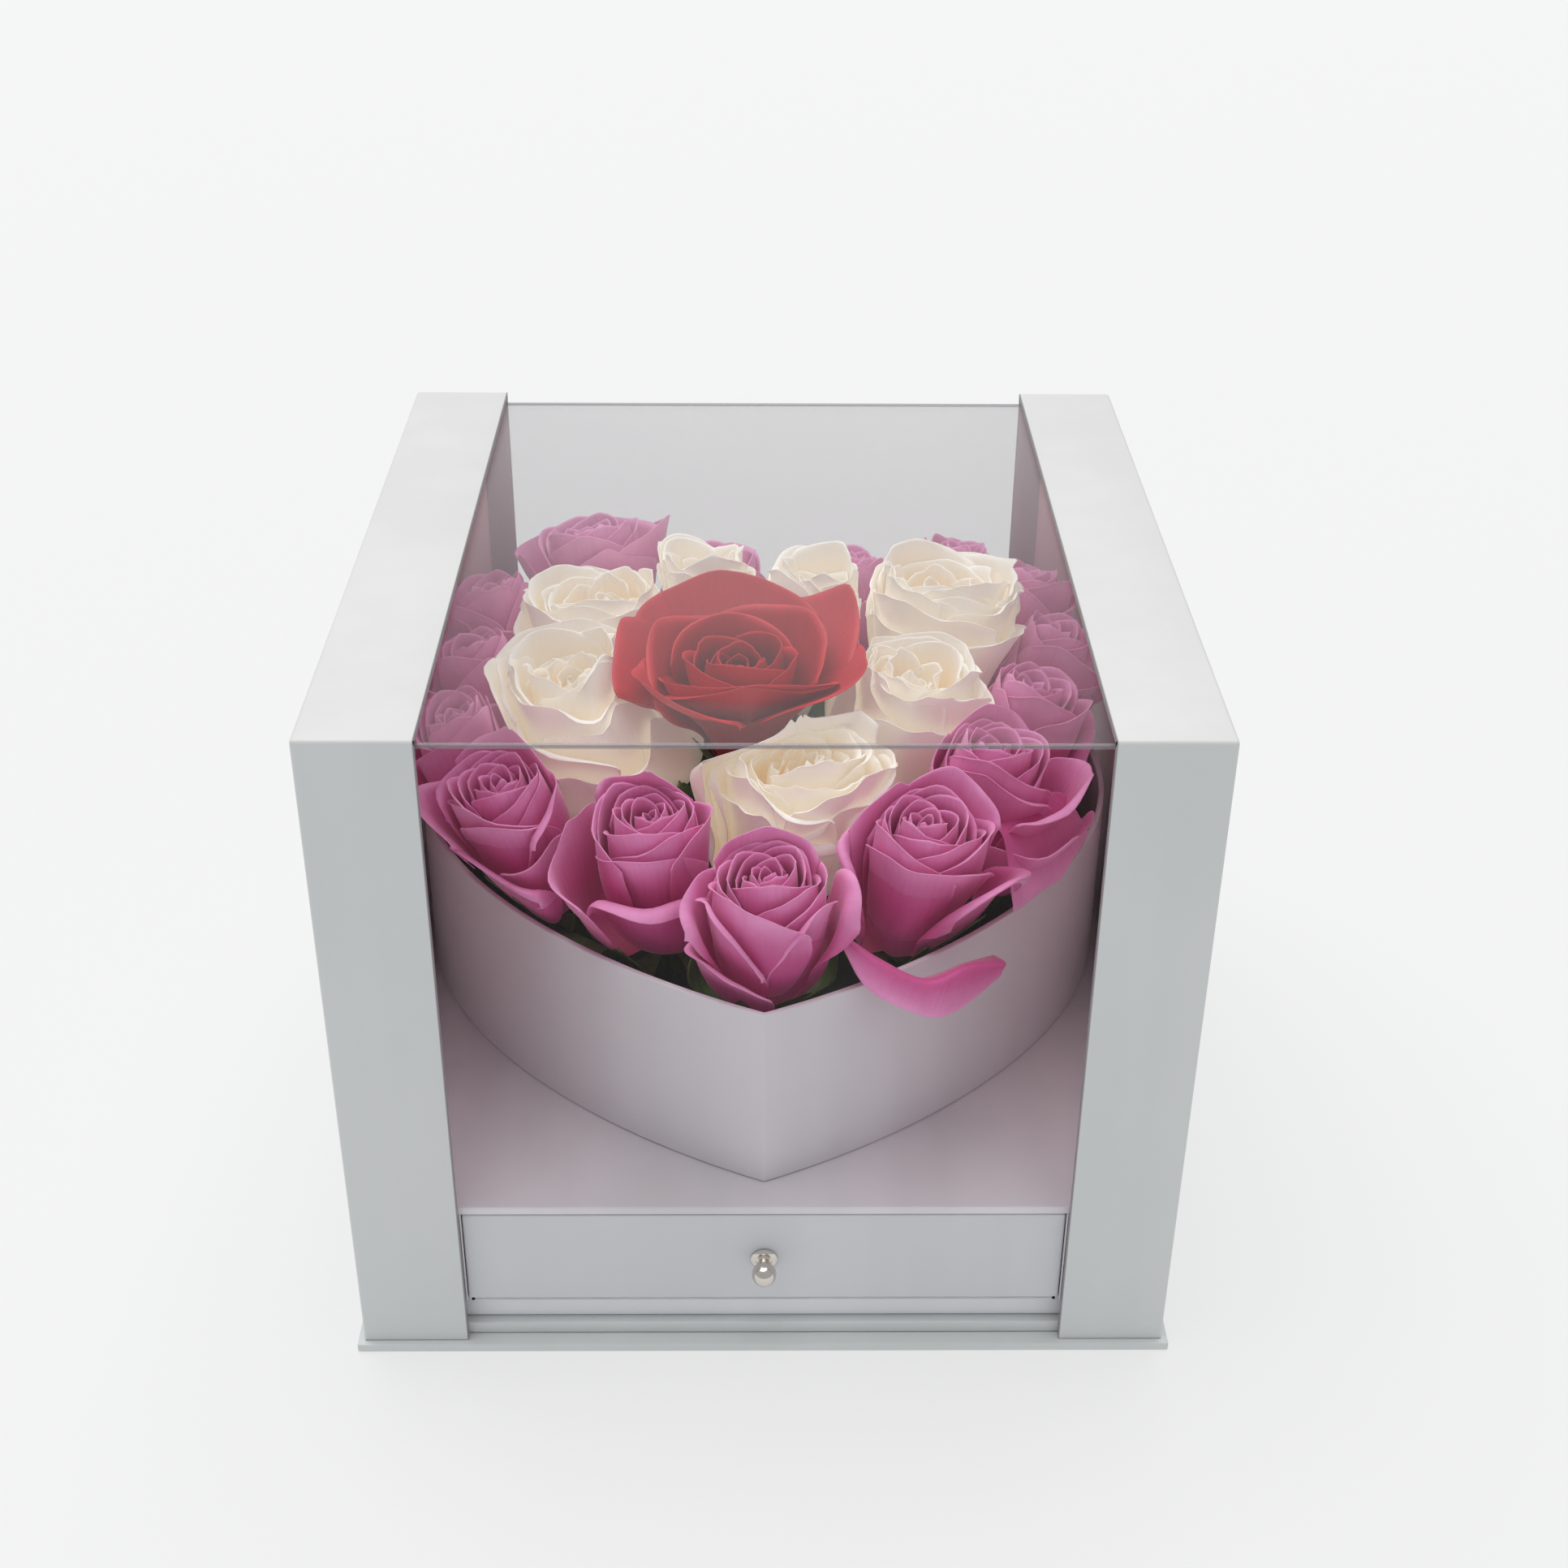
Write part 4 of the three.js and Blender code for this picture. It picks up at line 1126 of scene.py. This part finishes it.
# Painted shadow: the flanges' cut inner edges are painted dark, for the shadow gap between the
# flanges and the film.
cut = abs(x).between(*SHADOW_GAP_EDGE)
paper_skin(tone, shader, (cut * SHADOW_GAP_DEPTH).colours(faces, (0.2, 0.18, 0.2)), cloud)
for node, side in (("sleeve_left", -1), ("sleeve_right", 1)):
    low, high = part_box(node)
    folded = block(f"{node}_folded", low, high)
    bpy.ops.object.mode_set(mode="EDIT")
    bpy.ops.mesh.select_mode(type="FACE")
    bpy.ops.mesh.select_all(action="DESELECT")
    bpy.ops.object.mode_set(mode="OBJECT")
    for face in folded.data.polygons:
        face.select = face.normal.z < -0.5 or face.normal.x * side < -0.5
    bpy.ops.object.mode_set(mode="EDIT")
    bpy.ops.mesh.delete(type="FACE")
    bpy.ops.object.mode_set(mode="OBJECT")
    finished(folded, "BEVEL", width=FOLD, segments=4, angle_limit=radians(60))
    finished(folded, "SOLIDIFY", thickness=BOARD, offset=-1, use_even_offset=True)
    finished(folded, "BEVEL", width=FOLDED_EDGE, segments=2, angle_limit=radians(50))
    for corner in folded.data.vertices:
        corner.co = [min(max(place, a), b) for place, a, b in zip(corner.co, low, high)]
    bpy.ops.object.shade_smooth_by_angle(angle=radians(35))
    placed(folded, sleeve_paper, "white_board", "box", node)


# Window. One strip of clear plastic film is glued inside the flanges, and runs up the front, over
# the top and down the back. It is creased at its two folds, along which thin dark lines of painted
# shade are drawn.
FILM = 0.6 * MM
FILM_CREASE = 0.8 * MM
CREASE_ACROSS = (121.9 * MM, 122.1 * MM)
CREASE_UP = (215.7 * MM, 215.9 * MM)
BACK_PANE = (120 * MM, 122 * MM)
HAIR = 1e-5
low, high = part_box("window_film")
bpy.ops.object.select_all(action="DESELECT")
middle = (low + high) / 2
bpy.ops.mesh.primitive_plane_add(size=1, location=(middle.x, middle.y, high.z))
window = bpy.context.object
window.name = "window_strip"
window.data.transform(Matrix.Diagonal((high.x - low.x, high.y - low.y, 1, 1)))
bpy.ops.object.transform_apply(location=True, rotation=False, scale=False)
drop = Vector((0, 0, low.z - high.z))
for y in (low.y, high.y):
    bpy.ops.object.mode_set(mode="EDIT")
    bpy.ops.mesh.select_mode(type="EDGE")
    bpy.ops.mesh.select_all(action="DESELECT")
    bpy.ops.object.mode_set(mode="OBJECT")
    for edge in window.data.edges:
        ends = [window.data.vertices[i].co for i in edge.vertices]
        edge.select = all(abs(end.y - y) < HAIR and abs(end.z - high.z) < HAIR for end in ends)
    bpy.ops.object.mode_set(mode="EDIT")
    bpy.ops.mesh.extrude_edges_move(TRANSFORM_OT_translate={"value": drop})
    bpy.ops.object.mode_set(mode="OBJECT")
bpy.ops.object.mode_set(mode="EDIT")
bpy.ops.mesh.select_all(action="SELECT")
bpy.ops.mesh.normals_make_consistent(inside=False)
bpy.ops.object.mode_set(mode="OBJECT")
finished(window, "BEVEL", width=FILM_CREASE, segments=3, angle_limit=radians(60))
finished(window, "SOLIDIFY", thickness=FILM, offset=-1, use_even_offset=True)
bpy.ops.object.shade_smooth_by_angle(angle=radians(35))
clear_film, tone, shader = finish("clear_film")
facing = tone.node("ShaderNodeLayerWeight", inputs={"Blend": 0.5}, output="Facing")
y, z = tone.axis("Y"), tone.axis("Z")
haze = tone.noise(tone.stretched((9, 9, 2)), 1, 2)
# Painted shade: a thin dark line is painted along each fold.
painted_crease_shade = abs(y).between(*CREASE_ACROSS) * z.between(*CREASE_UP)
back = y.between(*BACK_PANE)
# Painted reflection: the film is painted whiter and more opaque where it is seen at a slant, for
# the bright surround reflected in it.
painted_reflection_veil = (facing * 1.2 + haze * 0.1).held().colours((0.08, 0.08, 0.08), (0.72, 0.71, 0.73))
tone.feed(
    shader,
    {
        "Base Color": painted_crease_shade.colours(painted_reflection_veil, (0.3, 0.27, 0.3)),
        "Roughness": 0.05,
        "Alpha": (facing * facing * 0.34 + 0.025 + back * 0.15 + painted_crease_shade * 0.5).held(),
    },
)
placed(window, clear_film, "clear_film", "box", "window_film")


# The studio: a plain pale floor, one broad soft light overhead and a pale surround, seen from the
# place that the photograph was taken from.
FLOOR_SIZE = 12
FLOOR_MIDDLE = (0, 2, 0)
bpy.ops.object.select_all(action="DESELECT")
bpy.ops.mesh.primitive_plane_add(size=FLOOR_SIZE, location=FLOOR_MIDDLE)
floor = bpy.context.object
floor.name = "studio_floor"
bpy.ops.object.transform_apply(location=True, rotation=False, scale=False)
floor_finish, tone, shader = finish("floor_paint")
tone.feed(
    shader,
    {
        "Base Color": (0.26, 0.26, 0.26, 1),
        "Roughness": 0.9,
        "Emission Color": (1.0, 1.0, 1.0, 1),
        "Emission Strength": 0.59,
    },
)
floor.data.materials.append(floor_finish)

scene = bpy.context.scene
scene.view_settings.view_transform = "Standard"
world = bpy.data.worlds.new("pale_surround")
scene.world = world
world.use_nodes = True
surround = world.node_tree.nodes["Background"]
surround.inputs["Color"].default_value = (0.97, 0.985, 1.0, 1)
surround.inputs["Strength"].default_value = 0.5

soft_sky = bpy.data.lights.new("soft_overhead", "SUN")
soft_sky.energy = 2.1
soft_sky.angle = radians(70)
overhead = bpy.data.objects.new("soft_overhead", soft_sky)
scene.collection.objects.link(overhead)
overhead.rotation_euler = (radians(-14), radians(-8), 0)

CAMERA_PLACE = Vector((-0.00219, -0.620, 0.5053))
TILT_DOWN = radians(31.143)
PAN = radians(0.8205)
ROLL = radians(0.474)
camera_data = bpy.data.cameras.new("camera")
camera_data.lens = 49.94
camera_data.sensor_width = 36
camera = bpy.data.objects.new("camera", camera_data)
scene.collection.objects.link(camera)
forward = Vector((sin(PAN) * cos(TILT_DOWN), cos(PAN) * cos(TILT_DOWN), -sin(TILT_DOWN)))
level = Vector((cos(PAN), -sin(PAN), 0))
upward = level.cross(forward)
across = cos(ROLL) * level + sin(ROLL) * upward
upward = -sin(ROLL) * level + cos(ROLL) * upward
camera.matrix_world = standing(CAMERA_PLACE, across, upward, -forward)
scene.camera = camera
